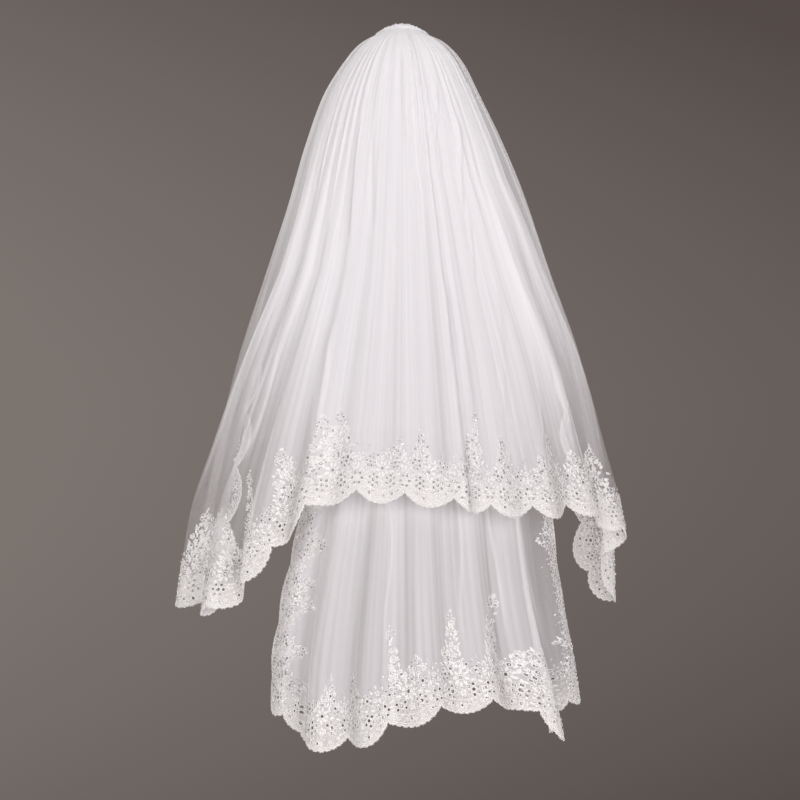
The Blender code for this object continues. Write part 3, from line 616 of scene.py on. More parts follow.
def facing_out(flat, triangles):
    """Triangles turned so that they wind with the cloth's right side outwards."""
    a, b, c = (flat[triangles[:, i]] for i in range(3))
    turn = (b[:, 0] - a[:, 0]) * (c[:, 1] - a[:, 1]) - (b[:, 1] - a[:, 1]) * (c[:, 0] - a[:, 0])
    return np.where((turn > 0)[:, None], triangles[:, ::-1], triangles)


def triangle_count(piece):
    return sum(len(p.vertices) - 2 for p in piece.data.polygons)


def worn(piece, node):
    """The piece rides on the veil's one body and stands in for a solid."""
    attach(piece, "root")
    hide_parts(node)


# %% [markdown]
# ## Finishes
# Net: a soft thread with a little sheen. Its mesh of tiny six-sided holes is a Voronoi pattern on the
# flat cut, so it follows the cloth. Contrast falls where layers pile up, as it does by eye. Lace ground
# is the same net, whiter. The embroidery is shiny viscose thread: a fine wave across each cord gives
# its wrapped stitches. Pearls and sequins get a clear coat.

# %% Node helpers
def add_node(tree, kind, sockets, **settings):
    """A node. Each of its sockets gets a value, or a link where that is another node's output."""
    node = tree.nodes.new(kind)
    for name, value in settings.items():
        setattr(node, name, value)
    for label, value in sockets.items():
        if hasattr(value, "is_linked"):
            tree.links.new(value, node.inputs[label])
        else:
            node.inputs[label].default_value = value
    return node


def math_node(tree, operation, a, b, clamp=False):
    return add_node(tree, "ShaderNodeMath", {0: a, 1: b}, operation=operation, use_clamp=clamp).outputs[0]


def shader_material(name, colour, roughness, **sockets):
    made = bpy.data.materials.new(name)
    made.use_nodes = True
    shader = made.node_tree.nodes["Principled BSDF"]
    shader.inputs["Base Color"].default_value = (*colour, 1)
    shader.inputs["Roughness"].default_value = roughness
    for socket, value in sockets.items():
        shader.inputs[socket.replace("_", " ")].default_value = value
    return made, made.node_tree, shader


def uv_of(tree):
    return add_node(tree, "ShaderNodeUVMap", {}, uv_map="cut").outputs["UV"]


def own_noise(tree, scale):
    """Soft noise on the piece's own coordinates."""
    own = tree.nodes.new("ShaderNodeTexCoord").outputs["Object"]
    return add_node(tree, "ShaderNodeTexNoise", {"Scale": scale, "Vector": own}).outputs["Fac"]


def bump_on(tree, shader, height, strength, distance):
    bump = add_node(tree, "ShaderNodeBump", {"Strength": strength, "Distance": distance, "Height": height})
    tree.links.new(bump.outputs["Normal"], shader.inputs["Normal"])


def tinted(tree, socket, amount, low, high, places=(0.0, 1.0)):
    """Feeds a colour that goes from low to high as the amount grows."""
    ramp = add_node(tree, "ShaderNodeValToRGB", {"Fac": amount})
    for stop, place, colour in zip(ramp.color_ramp.elements, places, (low, high)):
        stop.position = place
        stop.color = (*colour, 1)
    tree.links.new(ramp.outputs["Color"], socket)


# %% Net and lace ground
NET_WHITE = (0.892, 0.883, 0.908)
WORKED_WHITE = (0.965, 0.95, 0.95)
THREAD_SHARE = 0.16  # of a mesh cell's width, on either side of its border


def mesh_cloth(name, cell, contrast, bump, worked_colour=None):
    """See-through cloth: the piece's own cover, broken up by a mesh with cells of the given width."""
    made, tree, shader = shader_material(
        name, NET_WHITE, 0.62, Sheen_Weight=0.25, Sheen_Roughness=0.5, Specular_IOR_Level=0.25,
        Diffuse_Roughness=1.0,
    )
    sizes = {"Scale": 1 / cell, "Randomness": 0.25, "Vector": uv_of(tree)}
    cells = add_node(tree, "ShaderNodeTexVoronoi", sizes, feature="DISTANCE_TO_EDGE")
    thread = math_node(tree, "LESS_THAN", cells.outputs["Distance"], THREAD_SHARE)
    cover = add_node(tree, "ShaderNodeAttribute", {}, attribute_name="cover").outputs["Fac"]
    clear = math_node(tree, "SUBTRACT", 1.0, cover)
    weave = math_node(tree, "MULTIPLY", math_node(tree, "SUBTRACT", thread, 0.5), contrast)
    alpha = math_node(tree, "ADD", cover, math_node(tree, "MULTIPLY", weave, clear), clamp=True)
    tree.links.new(alpha, shader.inputs["Alpha"])
    bump_on(tree, shader, thread, bump, 0.0002)
    if worked_colour:
        worked = add_node(tree, "ShaderNodeAttribute", {}, attribute_name="worked").outputs["Fac"]
        colours = {"A": (*NET_WHITE, 1), "B": (*worked_colour, 1), "Factor": worked}
        whiten = add_node(tree, "ShaderNodeMix", colours, data_type="RGBA")
        tree.links.new(whiten.outputs["Result"], shader.inputs["Base Color"])
    return made


SOFT_NET = mesh_cloth("soft_net", 0.0016, 0.30, 0.10)
LACE_GROUND = mesh_cloth("lace_ground", 0.0011, 0.45, 0.20, WORKED_WHITE)
print("cloths:", SOFT_NET.name, LACE_GROUND.name)

# %% Thread, pearl and sequin
def satin_thread():
    made, tree, shader = shader_material(
        "satin_thread", (0.985, 0.978, 0.972), 0.42, Sheen_Weight=0.3, Sheen_Roughness=0.35
    )
    sizes = {"Scale": 260, "Distortion": 1.2, "Detail": 1.0, "Vector": uv_of(tree)}
    wave = add_node(tree, "ShaderNodeTexWave", sizes).outputs["Fac"]
    # The wave's troughs are tinted darker than its crests: painted shade in the grooves between the wrapped
    # stitches.
    tinted(tree, shader.inputs["Base Color"], wave, (0.91, 0.90, 0.895), (0.985, 0.975, 0.97))
    bump_on(tree, shader, wave, 0.5, 0.0003)
    return made


def coated(name, colour, roughness, coat, metallic):
    """A clear coat over a colour that varies a little from place to place."""
    made, tree, shader = shader_material(
        name, colour, roughness, Coat_Weight=coat, Coat_Roughness=0.06, Metallic=metallic
    )
    shade = (colour[0] * 0.94, colour[1] * 0.92, colour[2] * 0.94)
    tinted(tree, shader.inputs["Base Color"], own_noise(tree, 600), shade, colour, (0.35, 0.65))
    return made


SATIN = satin_thread()
FINE_THREAD = coated("fine_thread", (0.97, 0.96, 0.955), 0.45, 0.0, 0.0)
PEARL = coated("pearl", (0.93, 0.905, 0.885), 0.22, 0.7, 0.0)
SEQUIN = coated("clear_sequin", (0.95, 0.95, 0.97), 0.22, 0.9, 0.35)
# Grey crystals in many eyelet rims: partly the stones' own smoky colour, partly painted shade of the dark
# eyelets.
CRYSTAL_AND_EYELET_SHADE = coated("smoky_crystal_and_eyelet_shade", (0.50, 0.48, 0.50), 0.18, 0.9, 0.55)
print("finishes:", [finish.name for finish in (SATIN, FINE_THREAD, PEARL, SEQUIN, CRYSTAL_AND_EYELET_SHADE)])

# %% [markdown]
# ## The net shells
# Each shell is a fine grid: columns run down the cloth from the gathered line, rows cross it. The net
# in the middle ends at the seam along the hem. Beside the front edges it ends higher, on the slanting
# line where the lace begins, so the grid is built in two blocks that share one row.

# %% Grid of a net
COLUMN_STEP = 0.0033
ROW_STEP = 0.0066
ROWS_CLOSER = 1.25  # above 1, rows crowd towards the gathered line, where the form turns most


def net_grid(tier):
    """Flat points, quads, and the flat chain along the seam."""
    edge = EDGES[tier.name]
    left, right = -cut_left(tier), cut_right(tier)
    strip = round(BAND / COLUMN_STEP)
    middle = round((right - left - 2 * BAND) / COLUMN_STEP)
    across = np.concatenate([
        np.linspace(left, left + BAND, strip + 1)[:-1],
        np.linspace(left + BAND, right - BAND, middle + 1),
        np.linspace(right - BAND, right, strip + 1)[1:],
    ])
    full = tier.lace_start + TAPER
    seam = np.array([edge.seam_drop(a) for a in across])
    top_end = np.minimum(seam, full)
    rows = round(full / ROW_STEP)
    down = np.linspace(0, 1, rows + 1) ** ROWS_CLOSER
    top = np.stack(np.broadcast_arrays(across[None], down[:, None] * top_end[None]), axis=-1)
    inner = slice(strip, strip + middle + 1)
    low_rows = round((seam[inner].max() - full) / ROW_STEP)
    share = np.linspace(0, 1, low_rows + 1)[1:, None]
    low = np.stack(
        np.broadcast_arrays(across[None, inner], full + share * (seam[None, inner] - full)), axis=-1
    )

    top_ids = numbered(*top.shape[:2])
    low_ids = top_ids.size + numbered(*low.shape[:2])
    low_ids = np.vstack([top_ids[-1:, inner], low_ids])
    quads = [
        np.stack([ids[:-1, :-1], ids[1:, :-1], ids[1:, 1:], ids[:-1, 1:]], axis=-1).reshape(-1, 4)
        for ids in (top_ids, low_ids)
    ]
    flat = np.concatenate([top.reshape(-1, 2), low.reshape(-1, 2)])
    chain = [*top_ids[-1, :strip], *low_ids[:, 0], *low_ids[-1, 1:-1], *low_ids[::-1, -1]]
    chain += [*top_ids[-1, strip + middle + 1 :]]
    return flat, np.concatenate(quads), flat[chain]


print("columns lie", COLUMN_STEP, "m apart, rows", ROW_STEP)

# %% Hang the nets
seams = {}
for tier in (UPPER, LOWER):
    flat, quads, seams[tier.name] = net_grid(tier)
    points, _ = in_pieces(drape, tier, flat)
    cover = in_pieces(net_cover, tier, flat)
    net = piece_of(f"{tier.name}_veil_net", points, quads, SOFT_NET, flat, cover)
    worn(net, f"{tier.name}_net")
    covers = (cover.min().round(2), cover.max().round(2))
    print(net.name, triangle_count(net), "triangles, covers", *covers)

# %% [markdown]
# ## Corded lace, drawn flat
# The edging is net that a machine has embroidered: wrapped cords along the scallops, rows of oval
# eyelets, ringed flowers, satin petals, leaf sprays and tall pointed bunches that climb into the net.
# Each kind of stitchery is made once, flat, as points with a run along the cloth, a distance inwards
# and a height. Copies are then laid out on every scallop and carried to the folds by `drape`.

# %% Stitched shapes
Shape = namedtuple("Shape", "points triangles thread")  # thread: the uv along and across each cord
UNDER = 0.00035  # how far the stitchery stands out on the cloth's wrong side
MM = 0.001


def loft(rows, thread, closed):
    """Triangles between rows of points, round the section and along it."""
    ids = numbered(len(rows), len(rows[0]))
    ids = np.vstack([ids, ids[:1]])
    ahead = np.roll(ids, -1, axis=1)
    if not closed:
        ids, ahead = ids[:, :-1], ahead[:, :-1]
    a, b, c, d = ids[:-1].ravel(), ahead[:-1].ravel(), ahead[1:].ravel(), ids[1:].ravel()
    triangles = np.concatenate([np.stack([a, b, c], 1), np.stack([a, c, d], 1)])
    return Shape(np.concatenate(rows), triangles, np.concatenate(thread))


def ribbon(path, width, height, closed=False, section=((-0.5, None), (0.0, 1.0), (0.5, None))):
    """A raised cord on a flat path. The section gives places across it and heights, None underneath."""
    path = np.asarray(path, float)
    if closed:
        step = np.roll(path, -1, axis=0) - np.roll(path, 1, axis=0)
    else:
        step = np.gradient(path, axis=0)
    step /= np.linalg.norm(step, axis=1)[:, None]
    side = np.stack([-step[:, 1], step[:, 0]], axis=1)
    count = len(path)
    run = np.concatenate([[0], np.cumsum(np.linalg.norm(np.diff(path, axis=0), axis=1))])
    width = np.broadcast_to(width, count)
    height = np.broadcast_to(height, count)
    rows, thread = [], []
    for across, up in section:
        level = np.full(count, -UNDER) if up is None else up * height
        rows.append(np.column_stack([path + side * (across * width)[:, None], level]))
        thread.append(np.column_stack([run, across * width]))
    return loft(rows, thread, closed)


def petal(length, width, height, steps=5):
    """A satin-stitched petal: pointed at both ends and domed, with the stitches across it."""
    t = np.linspace(0.04, 0.97, steps + 1)
    half = width / 2 * np.sin(np.pi * t**0.85) ** 0.7
    rows, thread = [], []
    for across, up in ((-1, None), (0, 1.0), (1, None)):
        level = np.full(steps + 1, -UNDER) if up is None else height * np.sin(np.pi * t) ** 0.5
        rows.append(np.column_stack([t * length, across * half, level]))
        thread.append(np.column_stack([t * length, across * half]))
    return loft(rows, thread, False)


def oval(half_length, half_width, steps=12):
    t = np.linspace(0, 2 * np.pi, steps + 1)[:-1]
    return np.column_stack([half_length * np.cos(t), half_width * np.sin(t)])


def scroll(radius, turns, width, steps=12):
    """A spiral stem that curls in."""
    t = np.linspace(0, 1, steps)
    angle = 2 * np.pi * turns * t
    reach = radius * (1 - 0.7 * t)
    path = np.column_stack([radius - reach * np.cos(angle), reach * np.sin(angle)])
    return ribbon(path, width * (1 - 0.3 * t), 1.0 * MM)


def rim(half_length, half_width, width, height, steps):
    """The stitched rim of an eyelet, just outside its hole."""
    return ribbon(oval(half_length + width / 2, half_width + width / 2, steps), width, height, closed=True)


print("a leaf has", len(petal(10.0 * MM, 4.4 * MM, 1.4 * MM).triangles), "triangles")

# %% Shapes from shapes
def turned(x, y, degrees):
    """x and y, turned round their middle."""
    cos, sin = math.cos(math.radians(degrees)), math.sin(math.radians(degrees))
    return x * cos - y * sin, x * sin + y * cos


def as_one(shapes):
    points, triangles = merged([(shape.points, shape.triangles) for shape in shapes])
    return Shape(points, triangles, np.concatenate([shape.thread for shape in shapes]))


def flower(petals, inner, outer, width, height, steps=4):
    """Petals round a centre, from an inner to an outer radius."""
    one = petal(outer - inner, width, height, steps)
    round_it = []
    for k in range(petals):
        x, y = turned(*one.points[:, :2].T, 360 * k / petals)
        angle = 2 * math.pi * k / petals
        x, y = x + inner * math.cos(angle), y + inner * math.sin(angle)
        round_it.append(one._replace(points=np.column_stack([x, y, one.points[:, 2]])))
    return as_one(round_it)


SHAPES = {
    "fan_rim": rim(2.7 * MM, 1.9 * MM, 1.5 * MM, 1.2 * MM, 12),
    "heart_rim": rim(2.7 * MM, 2.7 * MM, 1.6 * MM, 1.3 * MM, 13),
    "ring_rim": rim(2.2 * MM, 2.2 * MM, 1.3 * MM, 1.1 * MM, 10),
    "small_rim": rim(1.8 * MM, 1.8 * MM, 1.2 * MM, 1.0 * MM, 9),
    "great_flower": flower(8, 4.9 * MM, 13.4 * MM, 5.4 * MM, 1.7 * MM, 5),
    "small_flower": flower(5, 1.0 * MM, 6.4 * MM, 4.2 * MM, 1.4 * MM),
    "floret": flower(5, 0.8 * MM, 4.7 * MM, 3.2 * MM, 1.2 * MM, 3),
    "leaf": petal(10.0 * MM, 4.4 * MM, 1.4 * MM),
    "small_leaf": petal(6.6 * MM, 3.1 * MM, 1.2 * MM, 4),
    "bud": petal(4.8 * MM, 2.9 * MM, 1.2 * MM, 3),
    "curl": scroll(4.4 * MM, 0.85, 1.6 * MM),
    "hook": scroll(2.9 * MM, 0.6, 1.4 * MM, 8),
}
print("shapes:", {name: len(shape.triangles) for name, shape in SHAPES.items()})

# %% [markdown]
# A layout is a table of where each shape goes on one scallop: its run from the scallop's middle, its
# distance inwards from the tips, its turn and its size. One side is written down and mirrored, but
# every scallop then gets its own small shifts, and real holes are cut through the ground where the
# table asks for them. Small stitches fill what room is left, as a lace machine fills it.

# %% Layout of a scallop, in millimetres
Motif = namedtuple("Motif", "shape along inwards turn size both_sides", defaults=(0.0, 1.0, False))
Hole = namedtuple("Hole", "along inwards half_length half_width turn both_sides", defaults=(0.0, False))
ROSE_ALONG, ROSE_INWARDS, ROSE_RING = 17.0, 34.0, 8.2
HIGH_ROSE_ALONG, HIGH_ROSE_INWARDS, HIGH_ROSE_RING = 25.5, 62.0, 7.4
CROWN_INWARDS = 52.0
HEART_HOLE, RING_HOLE, SMALL_HOLE = 2.7, 2.2, 1.8  # half widths inside the rims of those names


def notch_mm(along):
    return SCALLOP_NOTCH / MM * (1 - math.cos(math.pi * along * MM / SCALLOP_PITCH) ** SCALLOP_FULLNESS)


def upright_to_notch(along):
    """The turn, in degrees, that points straight in from the scalloped edge."""
    slope = (notch_mm(along + 1) - notch_mm(along - 1)) / 2
    return 90 + math.degrees(math.atan(slope))


def ring_of(along, inwards, radius, shape, hole, turn=0.0, both_sides=False, count=6):
    """Eyelets in a ring: their rims, and the holes inside these."""
    rims, holes = [], []
    for k in range(count):
        angle = 2 * math.pi * k / count + math.radians(turn)
        x, y = along + radius * math.cos(angle), inwards + radius * math.sin(angle)
        rims.append(Motif(shape, x, y, 0, 1.0, both_sides))
        holes.append(Hole(x, y, hole, hole, 0, both_sides))
    return rims, holes


SCALLOP = list(table(
    Motif,
    ("small_flower", 0, 30.0, 90),
    ("great_flower", 0, CROWN_INWARDS, 10),
    ("heart_rim", 0, CROWN_INWARDS),
    ("heart_rim", ROSE_ALONG, ROSE_INWARDS, 0, 1.0, True),
    ("leaf", 13.5, 47.5, 12, 1.0, True),
    ("leaf", 12.0, 57, 78, 1.0, True),
    ("leaf", 25.0, 47, -20, 0.95, True),
    ("leaf", 29.0, 21.5, 20, 0.85, True),
    ("small_leaf", 8.5, 64, 68, 1.1, True),
    ("small_leaf", 29.0, 31, 20, 1.0, True),
    ("small_leaf", 28.5, 38, 0, 1.0, True),
    ("curl", 33.0, 49.5, 60, 1.0, True),
    ("floret", 38.5, 58.0, 50, 0.9, True),
    ("small_rim", 12.5, 71.5, 0, 1.0, True),
    ("heart_rim", HIGH_ROSE_ALONG, HIGH_ROSE_INWARDS, 0, 0.85, True),
    ("small_leaf", 37.5, 68.0, 100, 0.9, True),
    ("bud", 0, 67.5, 90, 1.2),
))
HOLES = list(table(
    Hole,
    (ROSE_ALONG, ROSE_INWARDS, HEART_HOLE, HEART_HOLE, 0, True),
    (0, CROWN_INWARDS, HEART_HOLE, HEART_HOLE),
    (12.5, 71.5, SMALL_HOLE, SMALL_HOLE, 0, True),
    (HIGH_ROSE_ALONG, HIGH_ROSE_INWARDS, 2.2, 2.2, 0, True),
))
print("motifs and holes written down:", len(SCALLOP), "and", len(HOLES))

# %% The fan, the rays and the rings of a scallop
FAN_INSET = 10.9
RAYS = 9  # small petals that stand on each scallop's cord
RAY_INSET = 5.4
for along in (6.8, 20.2, 32.6):
    lean = upright_to_notch(along)
    SCALLOP.append(Motif("fan_rim", along, notch_mm(along) + FAN_INSET, lean, 1.0, True))
    HOLES.append(Hole(along, notch_mm(along) + FAN_INSET, 2.7, 1.9, lean, True))
for along in (0.0, 13.6, 26.6, 39.0):
    SCALLOP.append(Motif("floret", along, notch_mm(along) + FAN_INSET, 3 * along, 0.8, along > 0))
for k in range(RAYS):
    along = 90 * ((k + 0.5) / RAYS - 0.5)
    SCALLOP.append(Motif("bud", along, notch_mm(along) + RAY_INSET, upright_to_notch(along), 0.8))
for ring in (
    (ROSE_ALONG, ROSE_INWARDS, ROSE_RING, "ring_rim", RING_HOLE, 30, True),
    (HIGH_ROSE_ALONG, HIGH_ROSE_INWARDS, HIGH_ROSE_RING, "small_rim", SMALL_HOLE, 10, True),
):
    rims, openings = ring_of(*ring)
    SCALLOP += rims
    HOLES += openings
rims, BETWEEN_HOLES = ring_of(45, 36.0, ROSE_RING, "ring_rim", RING_HOLE)
BETWEEN = [  # round the notch between two scallops
    Motif("floret", 45, 36.0, 90, 1.0),
    Motif("leaf", 45, 50, 90, 1.05),
    Motif("small_leaf", 43.0, 48, 150, 1.0),
    Motif("small_leaf", 47.0, 48, 30, 1.0),
    Motif("floret", 45, 66.5, 0, 1.05),
    Motif("small_leaf", 45, 73, 90, 1.0),
    *rims,
]
print("motifs on a scallop:", len(SCALLOP), "and", len(BETWEEN), "between,")
print("holes:", len(HOLES) + len(BETWEEN_HOLES))

# %% A bunch, in millimetres
BUNCH_FIRST = 68.0  # inwards from the tips, where its first row lies
BUNCH_KEPT = {"upper": 0.94, "lower": 0.88}  # of its stitches, and by how much less at its tip:
BUNCH_THINS = 0.16
BUNCH_SHIFT = 1.6  # millimetres by which they stray
BUNCH_STITCH = 6.0  # room for one stitch along a row
BUNCH_ROW = 5.6
RINGED_FROM = 34  # the height above the first row from which a bunch has a ringed flower near its tip
TIP_RING = 5.6
TIP_RING_ROOM = 2.6


def bunch(foot, along, height, half, kept):
    """A pointed, ragged bunch that climbs from the band and leans, with a ringed flower near its tip."""
    draw = np.random.default_rng(int(7 * height + 3 * half + along + 500))
    motifs, holes = [], []
    ring_at = height - 15.0 - 0.1 * half
    ring_share = (height - ring_at) / (height - BUNCH_FIRST)
    ring_middle = along + (foot - along) * ring_share
    ringed = height - BUNCH_FIRST > RINGED_FROM
    if ringed:
        rims, _ = ring_of(ring_middle, ring_at, TIP_RING, "small_rim", SMALL_HOLE, 30 * draw.uniform())
        motifs += rims
    at, row = BUNCH_FIRST, 0
    while at < height - 4:
        share = (height - at) / (height - BUNCH_FIRST)
        size = 0.72 + 0.38 * share
        middle = along + (foot - along) * share
        reach = half * share**0.9 * draw.uniform(0.72, 1.12)
        count = max(1, round(2 * reach / (BUNCH_STITCH * size)) + row % 2)
        for k in range(count):
            x = middle if count == 1 else middle - reach + 2 * reach * k / (count - 1)
            x, y = np.array([x, at]) + draw.normal(0, BUNCH_SHIFT / 2, 2)
            if draw.uniform() > kept - BUNCH_THINS * (1 - share):
                continue
            if ringed and math.hypot(x - ring_middle, y - ring_at) < TIP_RING + TIP_RING_ROOM:
                continue
            kind = (k + 2 * row) % 5
            if kind in (0, 3):
                motifs.append(Motif("floret", x, y, 40 * k + 25 * row, size))
            elif kind == 1:
                motifs.append(Motif("small_rim", x, y, 0, size * 1.15))
                holes.append(Hole(x, y, 2.0 * size, 2.0 * size))
            else:
                lean = 90 - 46 * (x - middle) / half + draw.normal(0, 14)
                motifs.append(Motif("small_leaf", x, y - 3, lean, size * draw.uniform(1.1, 1.5)))
        at += BUNCH_ROW * size
        row += 1
    motifs.append(Motif("bud", along, height - 6, 90, 1.1))
    return motifs, holes


print("a bunch of 150 mm has", len(bunch(0, 0, 150, 20, 1)[0]), "motifs")

# %% Where the lace parts and the bunches are
Part = namedtuple("Part", "name first last")
LACE_PARTS = {
    "upper": (Part("left", 0, 6), Part("hem", 6, 18), Part("right", 18, 26)),
    "lower": (Part("left", 0, 6), Part("hem", 6, 14), Part("right", 14, 20)),
}
# Millimetres: where its tip and foot lie from the scallop's middle, and its height from the tips.
Bunch = namedtuple("Bunch", "scallop along height half foot", defaults=(None,))


def foot_of(place):
    return 0.6 * place.along if place.foot is None else place.foot


HIGH_BUNCHES = {
    "upper": table(
        Bunch,
        (3, -8, 100, 18), (6, 16, 158, 20), (7, -6, 104, 18), (8, 24, 138, 18), (9, 50, 184, 17, -34),
        (10, 34, 142, 22), (11, -14, 146, 22), (11, 14, 148, 24), (12, 34, 102, 20), (13, -20, 118, 20),
        (14, 27, 164, 18), (14, 4, 122, 24), (15, -6, 126, 20), (16, -10, 100, 22), (16, 42, 130, 20),
        (17, -8, 104, 22), (18, -22, 128, 20), (19, 12, 150, 20), (22, 6, 104, 18), (23, -10, 98, 18),
    ),
    "lower": table(
        Bunch,
        (1, 6, 104, 20), (2, 16, 128, 22), (3, -16, 112, 20), (3, 20, 122, 22),
        (4, -4, 116, 24), (6, 10, 112, 20), (7, 18, 116, 18), (8, -14, 112, 20),
        (9, -6, 158, 9, -14), (9, 24, 104, 20), (10, 2, 158, 13, -8), (10, -18, 104, 18),
        (11, -4, 176, 17, -32), (11, 26, 112, 20), (12, 4, 158, 16), (13, -20, 128, 20),
        (15, 10, 100, 20), (17, -8, 98, 18),
    ),
}
print("bunches:", {name: len(places) for name, places in HIGH_BUNCHES.items()})

# %% Room for motifs
def band_at(edge, s):
    """The lace's width at s: it tapers at both ends."""
    return BAND * np.clip(np.minimum(s, edge.length - s) / TAPER, 0, 1)


def nearest_edge(edge, flat, size=2000):
    """How far flat points lie from the cut edge, and how far along it."""
    away, at = [], []
    for i in range(0, len(flat), size):
        gaps = np.linalg.norm(flat[i : i + size, None] - edge.path[None, ::2], axis=2)
        away.append(gaps.min(axis=1))
        at.append(gaps.argmin(axis=1))
    return np.concatenate(away), edge.run[::2][np.concatenate(at)]


ROOM_STEP = 0.004
DEEPEST = 0.22
LEAST_WIDTH = 0.26  # at a corner the cloth narrows inwards; motifs end where it is down to this share
MITRE_SLACK = 0.006


def depth_room(edge):
    """How far inwards the motifs may reach, at places along the run."""
    s, t = np.meshgrid(np.arange(ROOM_STEP, edge.length, ROOM_STEP), np.arange(0, DEEPEST, ROOM_STEP))
    near = nearest_edge(edge, edge.at(s.ravel(), t.ravel()))[0].reshape(s.shape)
    ahead = edge.at(s + ROOM_STEP, t) - edge.at(s - ROOM_STEP, t)
    along = edge.on_path(s + ROOM_STEP) - edge.on_path(s - ROOM_STEP)
    width = np.sum(ahead * along, axis=-1) / np.sum(along * along, axis=-1)
    bad = (near < t - MITRE_SLACK) | (width < LEAST_WIDTH)
    bad[-1] = True
    return s[0], t[:, 0][np.argmax(bad, axis=0)]


DEPTH_ROOM = {name: depth_room(edge) for name, edge in EDGES.items()}
least = {name: round(float(room.min()), 3) for name, (_, room) in DEPTH_ROOM.items()}
print("least depth for motifs:", least)

# %% Borders of the work
# On the upper tier's front edges only a narrow border is worked. It widens below to the whole band.
WORKED = {  # scallops from either end: metres inwards
    "upper": ((0.0, 0.0240), (2.7, 0.0260), (3.9, DEEPEST)),
    "lower": ((0.0, DEEPEST), (1.0, DEEPEST)),
}
END_ROOM = 0.006  # metres left free at the lace's two ends
WORK_ROOM = 0.006  # and inside its tapered border
BORDER_ROOM = 0.002


def worked_to(edge, s):
    from_end = np.minimum(s, edge.length - s) / edge.pitch
    return np.interp(from_end, *zip(*WORKED[edge.tier.name]))


def fits(edge, s, t, room=WORK_ROOM):
    if not END_ROOM < s < edge.length - END_ROOM:
        return False
    tapered = min(s, edge.length - s) < TAPER
    if tapered and t > band_at(edge, s) - room:
        return False
    return t < min(np.interp(s, *DEPTH_ROOM[edge.tier.name]), worked_to(edge, s)) - BORDER_ROOM


print("worked at the front edges:", {name: float(worked_to(edge, 0)) for name, edge in EDGES.items()})

# %% Motifs of every scallop
LACE_SEEDS = {"upper": 300, "lower": 350}
SHIFT = 0.5  # millimetres and degrees by which each motif strays
TURN_SHIFT = 7.0
FANS_LEFT_OUT = 0.25
FAN_SHIFT = 1.7
LAST_PLACED = 120  # of the motifs, for the stitches that fill between them


def fan_off(scallop, along):
    """The shift that an eyelet by the edge shares with its rim, or None where there is no eyelet."""
    draw = np.random.default_rng([scallop, round(along * 10) + 1000])
    if draw.uniform() < FANS_LEFT_OUT:
        return None
    return draw.uniform(-FAN_SHIFT, FAN_SHIFT), draw.uniform(-1.2, 2.2)


def laid_out(edge, part):
    """Motifs as (shape, s, t, turn, size, flip) and holes as (s, t, half length, half width, turn)."""
    draw = np.random.default_rng(LACE_SEEDS[edge.tier.name] + part.first)
    motifs, holes = [], []
    for scallop in range(part.first, part.last):
        rows, gaps = list(SCALLOP), list(HOLES)
        if scallop < part.last - 1:
            rows += BETWEEN
            gaps += BETWEEN_HOLES
        for place in HIGH_BUNCHES[edge.tier.name]:
            if place.scallop == scallop:
                kept = BUNCH_KEPT[edge.tier.name]
                more, openings = bunch(foot_of(place), place.along, place.height, place.half, kept)
                rows += more
                gaps += openings
        middle = (scallop + 0.5) * edge.pitch
        flip = draw.choice([-1, 1])
        for row in rows:
            for side in ((1, -1) if row.both_sides else (1,)):
                mirror = flip * side if row in SCALLOP else side
                if row.shape == "fan_rim":
                    off = fan_off(scallop, row.along * mirror)
                    if off is None:
                        continue
                    row = row._replace(along=row.along + off[0], inwards=row.inwards + off[1])
                stray = draw.normal(0, SHIFT / 3, 2)
                s = middle + (mirror * row.along + stray[0]) * MM
                t = (row.inwards + stray[1]) * MM
                turn = row.turn + draw.normal(0, TURN_SHIFT / 3)
                size = row.size * draw.uniform(0.95, 1.06)
                if fits(edge, s, t):
                    motifs.append((row.shape, s, t, turn, size, mirror))
        motifs += filling(edge, middle, motifs[-LAST_PLACED:], draw)
        for gap in gaps:
            for side in ((1, -1) if gap.both_sides else (1,)):
                mirror = flip * side if gap in HOLES else side
                if gap.half_length > gap.half_width:
                    off = fan_off(scallop, gap.along * mirror)
                    if off is None:
                        continue
                    gap = gap._replace(along=gap.along + off[0], inwards=gap.inwards + off[1])
                s, t = middle + mirror * gap.along * MM, gap.inwards * MM
                if fits(edge, s, t) and t < BAND - WORK_ROOM:
                    holes.append((s, t, gap.half_length * MM, gap.half_width * MM, gap.turn, mirror))
    return motifs, holes


print("fans without an eyelet:", sum(fan_off(scallop, 0) is None for scallop in range(26)), "of 26")

# %% Stitches that fill what room is left
FILL_TRIES = 460
FILL_MOST = 50
FILLERS = (  # shape, size, and the room it wants round it in millimetres
    ("bud", 0.8, 1.8), ("hook", 0.8, 2.2), ("small_leaf", 0.75, 2.1), ("bud", 0.65, 1.4), ("bud", 0.55, 1.2)
)
FILL_BAND = (0.0075, 0.072)
TAKEN_SHARE = 0.86  # of a motif's reach
CLOSER = 0.8  # of the wanted room, so that some stitches touch


def middle_of(shape):
    """A shape's own middle and how far it reaches from there."""
    flat = SHAPES[shape].points[:, :2]
    centre = (flat.max(axis=0) + flat.min(axis=0)) / 2
    return centre, np.linalg.norm(flat - centre, axis=1).max()


MIDDLES = {name: middle_of(name) for name in SHAPES}


